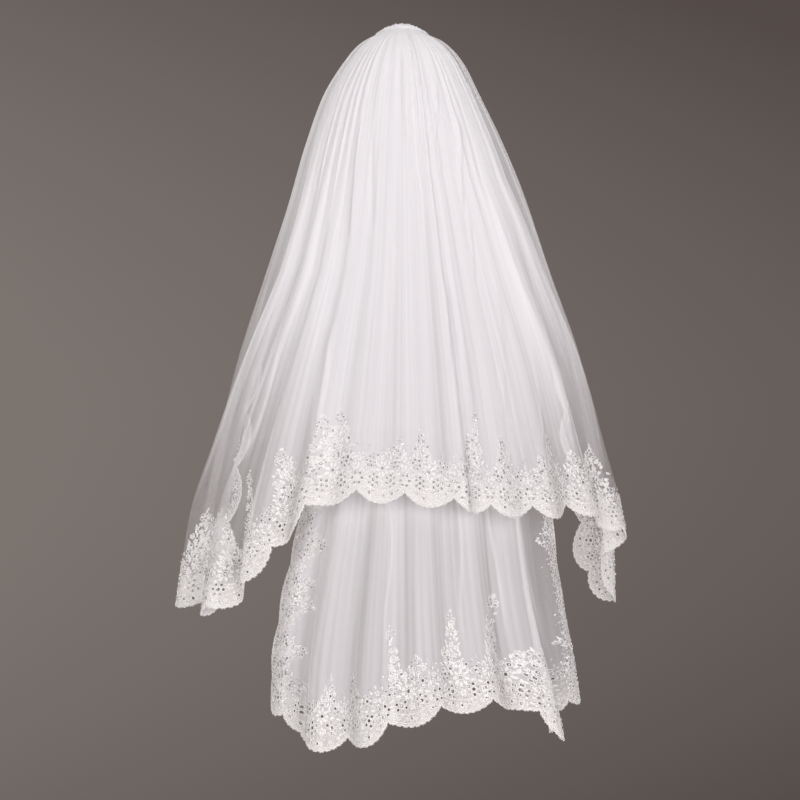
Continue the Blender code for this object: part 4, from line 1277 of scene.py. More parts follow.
def filling(edge, middle, placed, draw):
    """Small stitches in the room between the motifs of one scallop."""
    taken = []
    for name, s, t, turn, size, mirror in placed:
        centre, reach = MIDDLES[name]
        x, y = turned(*centre, turn)
        taken.append((s + mirror * x * size, t + y * size, reach * size * TAKEN_SHARE))
    made = []
    for _ in range(FILL_TRIES):
        name, size, room = FILLERS[draw.integers(len(FILLERS))]
        s = middle + draw.uniform(-0.5, 0.5) * edge.pitch
        t = edge.notch(s) + draw.uniform(*FILL_BAND)
        busy = np.array(taken)
        if len(busy) and np.min(np.hypot(busy[:, 0] - s, busy[:, 1] - t) - busy[:, 2]) < room * CLOSER * MM:
            continue
        if t > FILL_BAND[1] or not fits(edge, s, t):
            continue
        turn = draw.uniform(0, 360)
        x, y = turned(*MIDDLES[name][0], turn)
        made.append((name, s - x * size, t - y * size, turn, size, 1))
        taken.append((s, t, room * MM))
        if len(made) >= FILL_MOST:
            break
    return made


reaches = {name: round(float(reach / MM), 1) for name, (_, reach) in MIDDLES.items()}
print("reach of each shape, mm:", reaches)

# %% [markdown]
# Along the edge itself run two cords: a thick one on the scallops and a thinner one just inside. The
# band's ground ends on the first, so its outline is the scalloped line, the two cuts and the seam.

# %% Edge cords
EDGE_STEP = 0.0013
FRILLS = 9  # small curves on each scallop
FRILL_DEPTH = 0.0021
EdgeCord = namedtuple("EdgeCord", "inset width height frilled")
EDGE_CORDS = (EdgeCord(0.0013, 0.0023, 0.0015, 1.0), EdgeCord(0.0047, 0.0013, 0.0010, 0.7))
BOW = EdgeCord(0.0176, 0.0012, 0.0008, 0.0)
BOW_HALF = 0.037
BOW_ROOM = 0.004
ROUND_SECTION = ((-0.5, None), (-0.28, 0.85), (0.28, 0.85), (0.5, None))


def frill(edge, s):
    """How far the small curves stand out from the scallops."""
    curve = np.abs(np.sin(np.pi * FRILLS * np.asarray(s) / edge.pitch)) ** 0.8
    from_end = np.minimum(s, edge.length - s)
    return FRILL_DEPTH * (curve - 0.35) * np.clip(from_end / edge.pitch, 0, 1)


def edge_cord(edge, first, last, cord):
    first, last = max(first, END_ROOM), min(last, edge.length - END_ROOM)
    s = np.linspace(first, last, max(round((last - first) / EDGE_STEP), 4))
    path = np.column_stack([s, edge.notch(s) + cord.inset - cord.frilled * frill(edge, s)])
    return ribbon(path, cord.width, cord.height, section=ROUND_SECTION)


def cords_of(edge, part):
    """The cords that run with the edge, and a bow over each scallop's fan of eyelets."""
    cords = [edge_cord(edge, part.first * edge.pitch, part.last * edge.pitch, cord) for cord in EDGE_CORDS]
    for scallop in range(part.first, part.last):
        first, last = ((scallop + 0.5) * edge.pitch + half for half in (-BOW_HALF, BOW_HALF))
        off = fan_off(scallop, 0)
        if off:
            bow = BOW._replace(inset=BOW.inset + off[1] * MM)
            if all(fits(edge, end, bow.inset + SCALLOP_NOTCH, BOW_ROOM) for end in (first, last)):
                cords.append(edge_cord(edge, first, last, bow))
    return cords


print("each scallop has", FRILLS, "small curves")

# %% The whole embroidery of a part
def stitched(edge, part):
    """All the embroidery of a part in cloth coordinates with heights, its motifs and its holes."""
    motifs, holes = laid_out(edge, part)
    stitchery = []
    for name, s, t, turn, size, mirror in motifs:
        shape = SHAPES[name]
        x, y, z = (shape.points * size).T
        x, y = turned(x, y, turn)
        points = np.column_stack([s + mirror * x, t + y, z])
        stitchery.append(Shape(points, shape.triangles, shape.thread + (s, 0)))
    return as_one(stitchery + cords_of(edge, part)), motifs, holes


# %% Ground of a lace part
GROUND_STEP = 0.0052
GROUND_ROOM = 0.0022
ROWS_NEARER = 0.9  # rows lie a little closer than the points along them
BORDER_LEFT_FREE = 0.003
TIP_STEPS = 72  # on each scallop's outline
CUT_STEPS = 14
HOLE_SIDES = 9
HOLE_REACH = 0.004
WELDED = 1e-7


def outline_of(edge, part, chain):
    """The ground's outline: the seam, the two cuts and the scallops."""
    feet = [0, len(chain) - 1]
    for end, scallop in enumerate((part.first, part.last)):
        if 0 < scallop < edge.count:
            foot = edge.at(scallop * edge.pitch, BAND)
            feet[end] = int(np.argmin(np.linalg.norm(chain - foot, axis=1)))
    steps = (part.last - part.first) * TIP_STEPS
    s = np.linspace(part.first * edge.pitch, part.last * edge.pitch, steps + 1)
    tips = edge.at(s, edge.notch(s) - frill(edge, s))
    inner = chain[feet[0] : feet[1] + 1]
    share = np.linspace(0, 1, CUT_STEPS + 1)[1:-1, None]
    stretches = [inner]
    if part.last < edge.count:
        stretches.append(inner[-1] + share * (tips[-1] - inner[-1]))
    else:
        tips = tips[:-1]
    if part.first == 0:
        tips = tips[1:]
    stretches.append(tips[::-1])
    if part.first > 0:
        stretches.append(tips[0] + share * (inner[0] - tips[0]))
    return np.concatenate(stretches)


def loop_edges(first, count):
    return [(first + i, first + (i + 1) % count) for i in range(count)]


def inside_points(edge, part, taken):
    """Points that fill the band, clear of its borders and of the taken points."""
    run = np.arange(part.first * edge.pitch + GROUND_STEP / 2, part.last * edge.pitch, GROUND_STEP)
    depth = np.arange(0.004, BAND - 0.002, GROUND_STEP * ROWS_NEARER)
    run, depth = (a.ravel() for a in np.meshgrid(run, depth))
    keep = depth > edge.notch(run) + BORDER_LEFT_FREE
    keep &= depth < band_at(edge, run) - BORDER_LEFT_FREE
    inside = edge.at(run[keep], depth[keep])
    room = np.array([np.min(np.linalg.norm(taken - p, axis=1)) for p in inside])
    return inside[room > GROUND_ROOM]


def ground(edge, part, chain, holes):
    """Flat triangles of the ground, with its holes left open."""
    outline = outline_of(edge, part, chain)
    edges = loop_edges(0, len(outline))
    points = [outline]
    rim = oval(1, 1, HOLE_SIDES)
    for i, (hole_s, hole_t, half_length, half_width, turn, mirror) in enumerate(holes):
        x, y = turned(rim[:, 0] * half_length, rim[:, 1] * half_width, turn)
        points.append(edge.at(hole_s + mirror * x, hole_t + y))
        edges += loop_edges(len(outline) + i * HOLE_SIDES, HOLE_SIDES)
    loops = points[1:]
    points = np.concatenate(points)
    points = np.concatenate([points, inside_points(edge, part, points)])
    made = delaunay_2d_cdt([Vector(p) for p in points], edges, [list(range(len(outline)))], 1, WELDED)
    flat = np.array([tuple(p) for p in made[0]])
    triangles = np.array(made[2])
    centre = flat[triangles].mean(axis=1)
    open_here = np.zeros(len(triangles), bool)
    for loop in loops:
        near = np.linalg.norm(centre - loop.mean(axis=0), axis=1) < HOLE_REACH
        if near.any():
            open_here[near] |= within(centre[near], loop)
    return flat, triangles[~open_here]


def within(points, loop):
    """True for points inside a convex loop."""
    ahead = np.roll(loop, -1, axis=0) - loop
    off = points[:, None] - loop[None]
    turn = ahead[None, :, 0] * off[..., 1] - ahead[None, :, 1] * off[..., 0]
    return np.all(turn >= -1e-12, axis=1) | np.all(turn <= 1e-12, axis=1)


print("a ground's points lie", GROUND_STEP, "m apart")

# %% Sew the lace
LACE_COVER = {"upper": 0.64, "lower": 0.54}
DENSE_FROM = 0.066  # inwards from the edge: from here out the ground gets denser,
DENSE_BY = 0.030  # and here it has all its cover
laces = {}
stitcheries = {}
motif_places = {}
for tier in (UPPER, LOWER):
    edge = EDGES[tier.name]
    for part in LACE_PARTS[tier.name]:
        name = f"{tier.name}_veil_lace_{part.name}"
        work, motifs, holes = stitched(edge, part)
        motif_places[name] = (edge, part, motifs)
        flat = edge.at(work.points[:, 0], work.points[:, 1])
        points, normals = in_pieces(drape, tier, flat)
        points += normals * work.points[:, 2:]
        faces = facing_out(flat, work.triangles)
        stitcheries[name] = piece_of(f"{name}_stitchery", points, faces, SATIN, work.thread)

        flat, triangles = ground(edge, part, seams[tier.name], holes)
        points, _ = in_pieces(drape, tier, flat)
        cover = in_pieces(net_cover, tier, flat)
        away, run = nearest_edge(edge, flat)
        width = np.minimum(worked_to(edge, run) / BAND, 1)
        dense = soft_step(np.clip((DENSE_FROM - away / width) / (DENSE_FROM - DENSE_BY), 0, 1)) * width
        cover = cover + (np.maximum(LACE_COVER[tier.name], cover) - cover) * dense
        laces[name] = piece_of(name, points, facing_out(flat, triangles), LACE_GROUND, flat, cover)
        on_points(laces[name].data, "worked", dense)
        for piece in (laces[name], stitcheries[name]):
            worn(piece, f"{tier.name}_lace_{part.name}")
            print(piece.name, triangle_count(piece), "triangles")
        print(name, len(motifs), "motifs,", len(holes), "holes")

# %% [markdown]
# ## Pearls, sequins and picots
# Seed pearls sit in the flowers, clear sequins are scattered over the stitchery, and a row of tiny
# thread loops, picots, finishes the scalloped edge. They repeat thousands of times, so Geometry Nodes
# make them: a cloud of points carries each one's size and the way it faces, and one small shape is
# put on every point.

# %% Clouds of points
def cloud(name, points, facing, size, along=None):
    """A mesh of loose points with the attributes that the node trees read."""
    mesh = bpy.data.meshes.new(name)
    mesh.vertices.add(len(points))
    mesh.vertices.foreach_set("co", np.asarray(points, np.float32).ravel())
    for label, vectors in (("facing", facing), ("along", along)):
        if vectors is not None:
            layer = mesh.attributes.new(label, "FLOAT_VECTOR", "POINT")
            layer.data.foreach_set("vector", np.asarray(vectors, np.float32).ravel())
    on_points(mesh, "size", size)
    return in_scene(name, mesh)


def lying_on(edge, s, t, height):
    """Points over the draped lace and its outward normals."""
    points, normals = in_pieces(drape, edge.tier, edge.at(s, t))
    return points + normals * np.broadcast_to(height, len(points))[:, None], normals


def unit(vectors):
    return vectors / np.linalg.norm(vectors, axis=1)[:, None]


# %% Node trees that put one shape on every point
def new_tree(name, sizes):
    """A Geometry Nodes tree with named number inputs; returns it with its input and output nodes."""
    tree = bpy.data.node_groups.new(name, "GeometryNodeTree")
    tree.interface.new_socket("Points", in_out="INPUT", socket_type="NodeSocketGeometry")
    for label, value in sizes.items():
        kind = "NodeSocketInt" if isinstance(value, int) else "NodeSocketFloat"
        tree.interface.new_socket(label, in_out="INPUT", socket_type=kind).default_value = value
    tree.interface.new_socket("Geometry", in_out="OUTPUT", socket_type="NodeSocketGeometry")
    return tree, tree.nodes.new("NodeGroupInput"), tree.nodes.new("NodeGroupOutput")


def attribute_in(tree, label, kind):
    node = add_node(tree, "GeometryNodeInputNamedAttribute", {"Name": label}, data_type=kind)
    return node.outputs["Attribute"]


def aligned(tree, label, axis, before=None):
    sockets = {"Vector": attribute_in(tree, label, "FLOAT_VECTOR")}
    if before is None:
        return add_node(tree, "FunctionNodeAlignRotationToVector", sockets, axis=axis).outputs["Rotation"]
    sockets["Rotation"] = before
    node = add_node(tree, "FunctionNodeAlignRotationToVector", sockets, axis=axis, pivot_axis="Z")
    return node.outputs["Rotation"]


def placed_on_points(tree, source, sink, shape, material, rotation, smooth_faces=True):
    """Instance, realize, shade and colour."""
    sockets = {"Points": source.outputs["Points"], "Instance": shape, "Rotation": rotation}
    sockets["Scale"] = attribute_in(tree, "size", "FLOAT")
    put = add_node(tree, "GeometryNodeInstanceOnPoints", sockets)
    real = tree.nodes.new("GeometryNodeRealizeInstances")
    shade = add_node(tree, "GeometryNodeSetShadeSmooth", {"Shade Smooth": smooth_faces})
    paint = add_node(tree, "GeometryNodeSetMaterial", {"Material": material})
    for a, b in ((put, real), (real, shade), (shade, paint), (paint, sink)):
        tree.links.new(a.outputs[0], b.inputs[0])


def baked(holder, tree, name, sizes):
    """Runs the tree on the cloud, keeps the plain mesh, and drops the modifier and the cloud."""
    modifier = holder.modifiers.new("make", "NODES")
    modifier.node_group = tree
    for item in tree.interface.items_tree:
        if item.name in sizes:
            modifier[item.identifier] = sizes[item.name]
    graph = bpy.context.evaluated_depsgraph_get()
    mesh = bpy.data.meshes.new_from_object(holder.evaluated_get(graph))
    mesh.name = name
    bpy.data.objects.remove(holder, do_unlink=True)
    return in_scene(name, mesh)


# %% Trees for pearls, sequins and crystals
PEARL_SIZES = {"Radius": 1.0, "Segments": 8, "Rings": 5}
SEQUIN_SIZES = {"Radius": 1.0, "Hole Radius": 0.24, "Cup Depth": 0.22, "Sides": 8}
CRYSTAL_SIZES = {"Radius": 1.0, "Table": 0.5, "Height": 0.55, "Sides": 7}


def bead_tree(name, sizes, kind, sockets, material, smooth_faces, **settings):
    """One bead for every point: each of the bead's sockets is fed by the tree's own input."""
    tree, source, sink = new_tree(name, sizes)
    fed = {socket: source.outputs[label] for label, socket in zip(sizes, sockets)}
    bead = add_node(tree, kind, fed, **settings).outputs["Mesh"]
    placed_on_points(tree, source, sink, bead, material, aligned(tree, "facing", "Z"), smooth_faces)
    return tree


CONE_SOCKETS = ("Radius Bottom", "Radius Top", "Depth", "Vertices")
PEARL_TREE = bead_tree(
    "seed_pearls", PEARL_SIZES, "GeometryNodeMeshUVSphere", ("Radius", "Segments", "Rings"), PEARL, True
)
# A sequin is a shallow cup with a hole in its middle: an open cone.
SEQUIN_TREE = bead_tree(
    "cup_sequins", SEQUIN_SIZES, "GeometryNodeMeshCone", CONE_SOCKETS, SEQUIN, False, fill_type="NONE"
)
# A crystal is a low faceted dome with a flat table.
CRYSTAL_TREE = bead_tree(
    "flat_crystals", CRYSTAL_SIZES, "GeometryNodeMeshCone", CONE_SOCKETS, CRYSTAL_AND_EYELET_SHADE, False
)
print("bead trees:", PEARL_TREE.name, SEQUIN_TREE.name, CRYSTAL_TREE.name)

# %% A tree for loops of thread
PICOT_SIZES = {"Loop Radius": 0.00135, "Thread Radius": 0.00042, "Steps": 6}


def thread_loops(tree, source, sink, curve, sides):
    """Sweeps a round thread along the curve, and puts a loop on every point."""
    sockets = {"Resolution": sides, "Radius": source.outputs["Thread Radius"]}
    ring = add_node(tree, "GeometryNodeCurvePrimitiveCircle", sockets).outputs["Curve"]
    swept = add_node(tree, "GeometryNodeCurveToMesh", {"Curve": curve, "Profile Curve": ring})
    rotation = aligned(tree, "along", "X", aligned(tree, "facing", "Z"))
    placed_on_points(tree, source, sink, swept.outputs["Mesh"], FINE_THREAD, rotation)


def picot_tree():
    """A picot is a small half loop of thread."""
    tree, source, sink = new_tree("picot_loops", PICOT_SIZES)
    sockets = {"Start Angle": -math.pi / 2, "Sweep Angle": math.pi}
    sockets |= {"Radius": source.outputs["Loop Radius"], "Resolution": source.outputs["Steps"]}
    arc = add_node(tree, "GeometryNodeCurveArc", sockets).outputs["Curve"]
    thread_loops(tree, source, sink, arc, 4)
    return tree


PICOT_TREE = picot_tree()
print("loop tree:", PICOT_TREE.name, "with", len(PICOT_TREE.nodes), "nodes")

# %% Pearls in the flowers
PEARLS = {  # shape: the radius of the ring they sit on, how many, a pearl's radius, in millimetres
    "small_flower": (0.0, 1, 1.5), "floret": (0.0, 1, 1.05), "great_flower": (9.6, 8, 0.95),
}
BOW_PEARLS = 7
BOW_PEARL_RADIUS = 0.00095
BOW_PEARL_STEP = 0.0042
BOW_PEARL_DEPTH = 0.0213


def pearls_of(edge, part, motifs):
    """Where pearls lie along the edge and inwards, and their radii."""
    made = []
    for name, at_s, at_t, turn, size, mirror in motifs:
        ring, count, ball = PEARLS.get(name, (0.0, 0, 0.0))
        for k in range(count):
            angle = 2 * math.pi * (k + 0.5) / count + math.radians(turn)
            s = at_s + mirror * ring * size * MM * math.cos(angle)
            made.append((s, at_t + ring * size * MM * math.sin(angle), ball * size * MM))
    for scallop in range(part.first, part.last):
        middle = (scallop + 0.5) * edge.pitch
        for k in range(BOW_PEARLS):
            s = middle + (k - (BOW_PEARLS - 1) / 2) * BOW_PEARL_STEP
            t = float(edge.notch(s)) + BOW_PEARL_DEPTH
            if fits(edge, s, t, BOW_ROOM):
                made.append((s, t, BOW_PEARL_RADIUS))
    return np.array(made).T


print("pearls on a great flower:", PEARLS["great_flower"][1])

# %% Sequins over the stitchery
SEQUINS_A_SCALLOP = 34
SEQUINS_A_BUNCH = 14
SEQUIN_RADIUS = (0.0013, 0.0019)
SEQUIN_TILT = 0.34
SEQUIN_HEIGHT = 0.0015
SEQUIN_BAND = (0.010, 0.078)
SEQUIN_ROOM = 0.005


def sequins_of(edge, part, draw):
    """Where sequins lie along the edge and inwards."""
    made = []
    for scallop in range(part.first, part.last):
        middle = (scallop + 0.5) * edge.pitch
        places = []
        for _ in range(SEQUINS_A_SCALLOP):
            at = middle + draw.uniform(-0.5, 0.5) * edge.pitch
            places.append((at, float(edge.notch(at)) + draw.uniform(*SEQUIN_BAND)))
        for place in HIGH_BUNCHES[edge.tier.name]:
            if place.scallop == scallop:
                climb = draw.uniform(size=SEQUINS_A_BUNCH) ** 1.5
                off = draw.uniform(-1, 1, SEQUINS_A_BUNCH) * place.half * (1 - climb) ** 0.75
                at = middle + (foot_of(place) + (place.along - foot_of(place)) * climb + off) * MM
                places += zip(at, (BUNCH_FIRST + climb * (place.height - BUNCH_FIRST)) * MM)
        made += [place for place in places if fits(edge, *place, SEQUIN_ROOM)]
    return np.array(made).T


print("sequins on a scallop:", SEQUINS_A_SCALLOP)

# %% Crystals and picots
# The crystals' grey is partly painted shade: it darkens the eyelets that they sit in.
CRYSTALS = {  # how many of these rims hold one, and its radius in millimetres
    "ring_rim": (0.62, 2.0), "small_rim": (0.80, 1.75), "fan_rim": (0.3, 1.8), "heart_rim": (0.45, 2.4),
}
CRYSTAL_HEIGHT = 0.0006
PICOT_STEP = 0.0034
PICOT_OUT = 0.0003
PICOT_HEIGHT = 0.0002
PICOT_REACH = 0.002


def crystals_of(motifs, draw):
    """Where crystals lie, and their radii."""
    made = [(s, t, CRYSTALS[name][1] * size * MM) for name, s, t, _, size, _ in motifs
            if name in CRYSTALS and draw.uniform() < CRYSTALS[name][0]]
    return np.array(made).T


def picots_of(edge, part):
    """Where picots stand on the scallops' small curves."""
    first, last = part.first * edge.pitch, part.last * edge.pitch
    first, last = max(first, END_ROOM) + PICOT_STEP / 2, min(last, edge.length - END_ROOM)
    s = np.arange(first, last, PICOT_STEP)
    return s, edge.notch(s) - frill(edge, s) + PICOT_OUT


print("picots on a scallop:", round(SCALLOP_PITCH / PICOT_STEP))

# %% Sew them on
TRIM_SEEDS = {"upper": 900, "lower": 970}
PEARL_LIFT = 0.0006  # over the net, and a share of its own radius
PEARL_SHARE = 0.8
trims = {}
for name, (edge, part, motifs) in motif_places.items():
    draw = np.random.default_rng(TRIM_SEEDS[edge.tier.name] + part.first)
    s, t, radius = pearls_of(edge, part, motifs)
    points, normals = lying_on(edge, s, t, PEARL_LIFT + radius * PEARL_SHARE)
    holder = cloud("pearl_points", points, normals, radius)
    pearls = baked(holder, PEARL_TREE, f"{name}_pearls", PEARL_SIZES)

    points, normals = lying_on(edge, *sequins_of(edge, part, draw), SEQUIN_HEIGHT)
    facing = unit(normals + draw.normal(0, SEQUIN_TILT, normals.shape))
    holder = cloud("sequin_points", points, facing, draw.uniform(*SEQUIN_RADIUS, len(points)))
    sequins = baked(holder, SEQUIN_TREE, f"{name}_sequins", SEQUIN_SIZES)

    s, t, radius = crystals_of(motifs, draw)
    points, normals = lying_on(edge, s, t, CRYSTAL_HEIGHT)
    holder = cloud("crystal_points", points, normals, radius)
    crystals = baked(holder, CRYSTAL_TREE, f"{name}_crystals", CRYSTAL_SIZES)

    s, t = picots_of(edge, part)
    points, normals = lying_on(edge, s, t, PICOT_HEIGHT)
    outer, _ = lying_on(edge, s, t - PICOT_REACH, PICOT_HEIGHT)
    holder = cloud("picot_points", points, normals, np.ones(len(s)), unit(outer - points))
    picots = baked(holder, PICOT_TREE, f"{name}_picots", PICOT_SIZES)

    trims[name] = [pearls, sequins, crystals, picots]
    for trim in trims[name]:
        worn(trim, f"{edge.tier.name}_lace_{part.name}")
    print(name, {trim.name.split("_")[-1]: triangle_count(trim) for trim in trims[name]})

# %% [markdown]
# ## Rolled side edges
# Above the lace the net's two side edges are rolled under as fine as a thread and oversewn, so that
# the cut doesn't fray. Each is a thin tube that follows the draped edge.

# %% Rolled edges
EDGE_ROLL = 0.0007
EDGE_ROLL_SIDES = 6
EDGE_ROLL_STEP = 0.006
EDGE_ROLL_BELOW = 0.004  # how far a roll runs on under the lace


def tube_faces(stations, sides):
    ids = numbered(stations, sides)
    ahead = np.roll(ids, -1, axis=1)
    return np.stack([ids[:-1], ahead[:-1], ahead[1:], ids[1:]], axis=-1).reshape(-1, 4)


def tube(points, radius, sides):
    """Rings round a line of points, and the faces between them."""
    step = unit(np.gradient(points, axis=0))
    side = unit(np.cross(step, (0.0, 0.0, 1.0)))
    other = np.cross(step, side)
    turn = np.linspace(0, 2 * np.pi, sides + 1)[:-1]
    ring = side[:, None] * np.cos(turn)[None, :, None] + other[:, None] * np.sin(turn)[None, :, None]
    return (points[:, None] + radius * ring).reshape(-1, 3), tube_faces(len(points), sides)


for tier in (UPPER, LOWER):
    tubes = []
    for across in (-cut_left(tier) + EDGE_ROLL, cut_right(tier) - EDGE_ROLL):
        down = np.arange(EDGE_ROLL_STEP, tier.lace_start + EDGE_ROLL_BELOW, EDGE_ROLL_STEP)
        line, _ = drape(tier, np.full(len(down), across), down)
        tubes.append(tube(line, EDGE_ROLL, EDGE_ROLL_SIDES))
    roll = piece_of(f"{tier.name}_veil_rolled_edges", *merged(tubes), FINE_THREAD)
    worn(roll, f"{tier.name}_net")
    print(roll.name, triangle_count(roll), "triangles")

# %% [markdown]
# ## The gathered heading
# Both tiers are gathered on a thread, rolled over and sewn to the comb. The roll is a soft ridge with
# many uneven tucks, made as one lofted surface: each station along it has its own width, height and
# twist from slow noise, and the tucks are a finer wave.

# %% Heading
HEADING_BASE_Z = GATHERED_LINE_Z + 0.0012
HEADING_HALF_LENGTH = 0.042
HEADING_HALF_DEPTH = 0.0075
HEADING_MIDDLE_Y = -0.0010
HEADING_HEIGHT = 0.0058
HEADING_STATIONS = 300
HEADING_SIDES = 18
HEADING_SEED = 77
HEADING_ARC = (-0.12, 1.12)  # half turns, from its foot behind over its top to its foot in front
HEADING_COVER = 0.965
HEADING_CLOTH = (0.76, 0.03)  # half the width and the whole depth of the net that is rolled in
TUCKS = 31
TUCK_DEPTH = 0.0016
SMALL_TUCK_SHARE = 0.3
TUCK_SWAY = 0.0006
TUCK_STRAY = 2.6
TUCK_UNEVEN = 0.35
HEIGHT_UNEVEN = 0.06
TUCK_SHEAR = 0.9
FINER_TUCKS = 2.4  # times as many as the large ones


def arch_at(x):
    return ARCH * (x / UPPER.sections[0].left) ** 2


def heading_points():
    share = np.linspace(-1, 1, HEADING_STATIONS)
    x = HEADING_HALF_LENGTH * share
    swell = 0.10 + 0.90 * np.cos(np.pi / 2 * share) ** 0.9
    still = np.zeros_like(share)
    phase = 2 * np.pi * TUCKS * share + TUCK_STRAY * wander(share, still, HEADING_SEED, 2.0)
    uneven = 1 + TUCK_UNEVEN * wander(share, still, HEADING_SEED + 1, 3.0)
    taller = 1 + HEIGHT_UNEVEN * wander(share, still, HEADING_SEED + 2, 5.0)
    rows = []
    for t in np.linspace(HEADING_ARC[0] * np.pi, HEADING_ARC[1] * np.pi, HEADING_SIDES):
        shear = TUCK_SHEAR * math.sin(t)
        tuck = TUCK_DEPTH * (0.3 + 0.7 * swell) * uneven * np.cos(phase + shear)
        tuck = tuck * (0.35 + 0.65 * max(0.0, math.sin(t)))
        small = SMALL_TUCK_SHARE * TUCK_DEPTH * np.cos(FINER_TUCKS * phase + 2 * shear + 1)
        depth = HEADING_HALF_DEPTH * swell + (tuck + small) * 0.6
        height = (HEADING_HEIGHT * swell + tuck + small) * taller
        y = HEADING_MIDDLE_Y - depth * math.cos(t)
        z = HEADING_BASE_Z - arch_at(x) + height * math.sin(t)
        rows.append(np.column_stack([x + TUCK_SWAY * np.sin(phase + shear), y, z]))
    return np.array(rows)


points = heading_points()
ids = numbered(*points.shape[:2])
quads = np.stack([ids[:-1, :-1], ids[:-1, 1:], ids[1:, 1:], ids[1:, :-1]], axis=-1).reshape(-1, 4)
across = np.linspace(-HEADING_CLOTH[0], HEADING_CLOTH[0], HEADING_STATIONS)
uv = np.stack(np.meshgrid(across, np.linspace(0, HEADING_CLOTH[1], HEADING_SIDES)), axis=-1)
cover = np.full(ids.size, HEADING_COVER)
heading = piece_of("gathered_roll", points.reshape(-1, 3), quads, SOFT_NET, uv.reshape(-1, 2), cover)
worn(heading, "gathered_heading")
print("heading:", triangle_count(heading), "triangles")

# %% [markdown]
# ## The comb
# A moulded comb of clear plastic goes into the hair. Its bar is a rounded strip that follows the head,
# and every tooth is the same thin round spike, bent to the same curve: one spike on a row of points.
# White thread winds round the bar between the teeth and holds the heading to it.

# %% Comb
BAR_LENGTH = 0.072
BAR_HEIGHT = 0.006
BAR_STATIONS = 60
BAR_SIDES = 12
TOOTH_COUNT = 16
TOOTH_LENGTH = 0.036
TOOTH_STATIONS = 16
TOOTH_SIDES = 8
TOOTH_HALF_WIDTH = 0.00100
TOOTH_HALF_WALL = 0.00085
COMB_CURVE = 0.090
COMB_WALL = 0.0020
BAR_SQUARENESS, TOOTH_BLUNTNESS = 24, 14  # powers: the ends stay wide, then round off
LEAST_END = 0.02
TOOTH_TAPERS = 0.45
TOOTH_ROOT = 0.8  # of the bar's height, where the teeth leave it
SEAM_GAP = 0.00045


def comb_point(x, run, out=0.0):
    """A point of the comb's middle surface, moved out by a distance."""
    turn = run / COMB_CURVE
    top = HEADING_BASE_Z - SEAM_GAP - arch_at(x)
    y = -COMB_CURVE * (1 - np.cos(turn)) - out * np.cos(turn)
    return np.stack([x, y, top - COMB_CURVE * np.sin(turn) + out * np.sin(turn)], axis=-1)


def comb_tube(x, run, half_width, half_wall, sides, along_bar):
    """A rounded strip or spike: stations along it, each an oval in the comb's own surface."""
    turn = np.linspace(0, 2 * np.pi, sides + 1)[:-1]
    wide = half_width[:, None] * np.cos(turn)
    thick = half_wall[:, None] * np.sin(turn)
    x, run = np.broadcast_to(x, len(wide))[:, None], np.broadcast_to(run, len(wide))[:, None]
    across, down = (0 * wide, wide) if along_bar else (wide, 0 * wide)
    points = comb_point(x + across, run + down, thick)
    return points.reshape(-1, 3), tube_faces(len(wide), sides)


def clear_plastic():
    made, tree, shader = shader_material(
        "clear_plastic", (0.86, 0.88, 0.90), 0.14, Alpha=0.62, IOR=1.49, Coat_Weight=0.5, Coat_Roughness=0.05
    )
    bump_on(tree, shader, own_noise(tree, 160), 0.12, 0.0004)
    return made


share = np.linspace(-1, 1, BAR_STATIONS)
ends = np.sqrt(np.clip(1 - np.abs(share) ** BAR_SQUARENESS, 0, 1)) + LEAST_END
bar = comb_tube(
    share * BAR_LENGTH / 2, BAR_HEIGHT / 2, BAR_HEIGHT / 2 * ends, COMB_WALL / 2 * ends, BAR_SIDES, True
)
down = np.linspace(0, 1, TOOTH_STATIONS)
taper = (1 - TOOTH_TAPERS * down) * np.sqrt(np.clip(1 - down**TOOTH_BLUNTNESS, LEAST_END, 1))
run = BAR_HEIGHT * TOOTH_ROOT + (TOOTH_LENGTH + BAR_HEIGHT * (1 - TOOTH_ROOT)) * down
teeth = []
for tooth in range(TOOTH_COUNT):
    x = -BAR_LENGTH / 2 + BAR_LENGTH / TOOTH_COUNT * (tooth + 0.5)
    teeth.append(comb_tube(x, run, TOOTH_HALF_WIDTH * taper, TOOTH_HALF_WALL * taper, TOOTH_SIDES, False))
comb = piece_of("moulded_comb", *merged([bar, *teeth]), clear_plastic())
worn(comb, "comb")
print("comb:", len(teeth), "teeth,", triangle_count(comb), "triangles")

# %% Winding stitches
STITCHES = 30
STITCH_SIZES = {"Half Width": 0.0016, "Thread Radius": 0.00028, "Steps": 14}
STITCH_LONGER = 2.3  # than it is wide
BAR_END_FREE = 0.002
STITCH_MIDDLE = 0.0028
STITCH_LEAN = 0.12
STITCH_ENDS = (0.0020, 0.0040)  # down the bar: the way that each stitch runs


def winding_tree():
    """A stitch is a loop of thread round the bar."""
    tree, source, sink = new_tree("winding_stitches", STITCH_SIZES)
    sockets = {"Radius": source.outputs["Half Width"], "Resolution": source.outputs["Steps"]}
    loop = add_node(tree, "GeometryNodeCurvePrimitiveCircle", sockets).outputs["Curve"]
    sockets = {"Scale": (STITCH_LONGER, 1, 1), "Geometry": loop}
    oblong = add_node(tree, "GeometryNodeTransform", sockets).outputs["Geometry"]
    thread_loops(tree, source, sink, oblong, 5)
    return tree


x = np.linspace(-BAR_LENGTH / 2 + BAR_END_FREE, BAR_LENGTH / 2 - BAR_END_FREE, STITCHES)
draw = np.random.default_rng(5)
points = comb_point(x, STITCH_MIDDLE + 0 * x)
lean = draw.normal(0, STITCH_LEAN, STITCHES)
facing = np.stack([np.cos(lean), np.zeros(STITCHES), np.sin(lean)], axis=1)
over, under = (comb_point(x, end + 0 * x) for end in STITCH_ENDS)
holder = cloud("stitch_points", points, facing, draw.uniform(0.92, 1.05, STITCHES), under - over)
stitches = baked(holder, winding_tree(), "comb_stitches", STITCH_SIZES)
worn(stitches, "gathered_heading")
print("stitches:", triangle_count(stitches), "triangles")
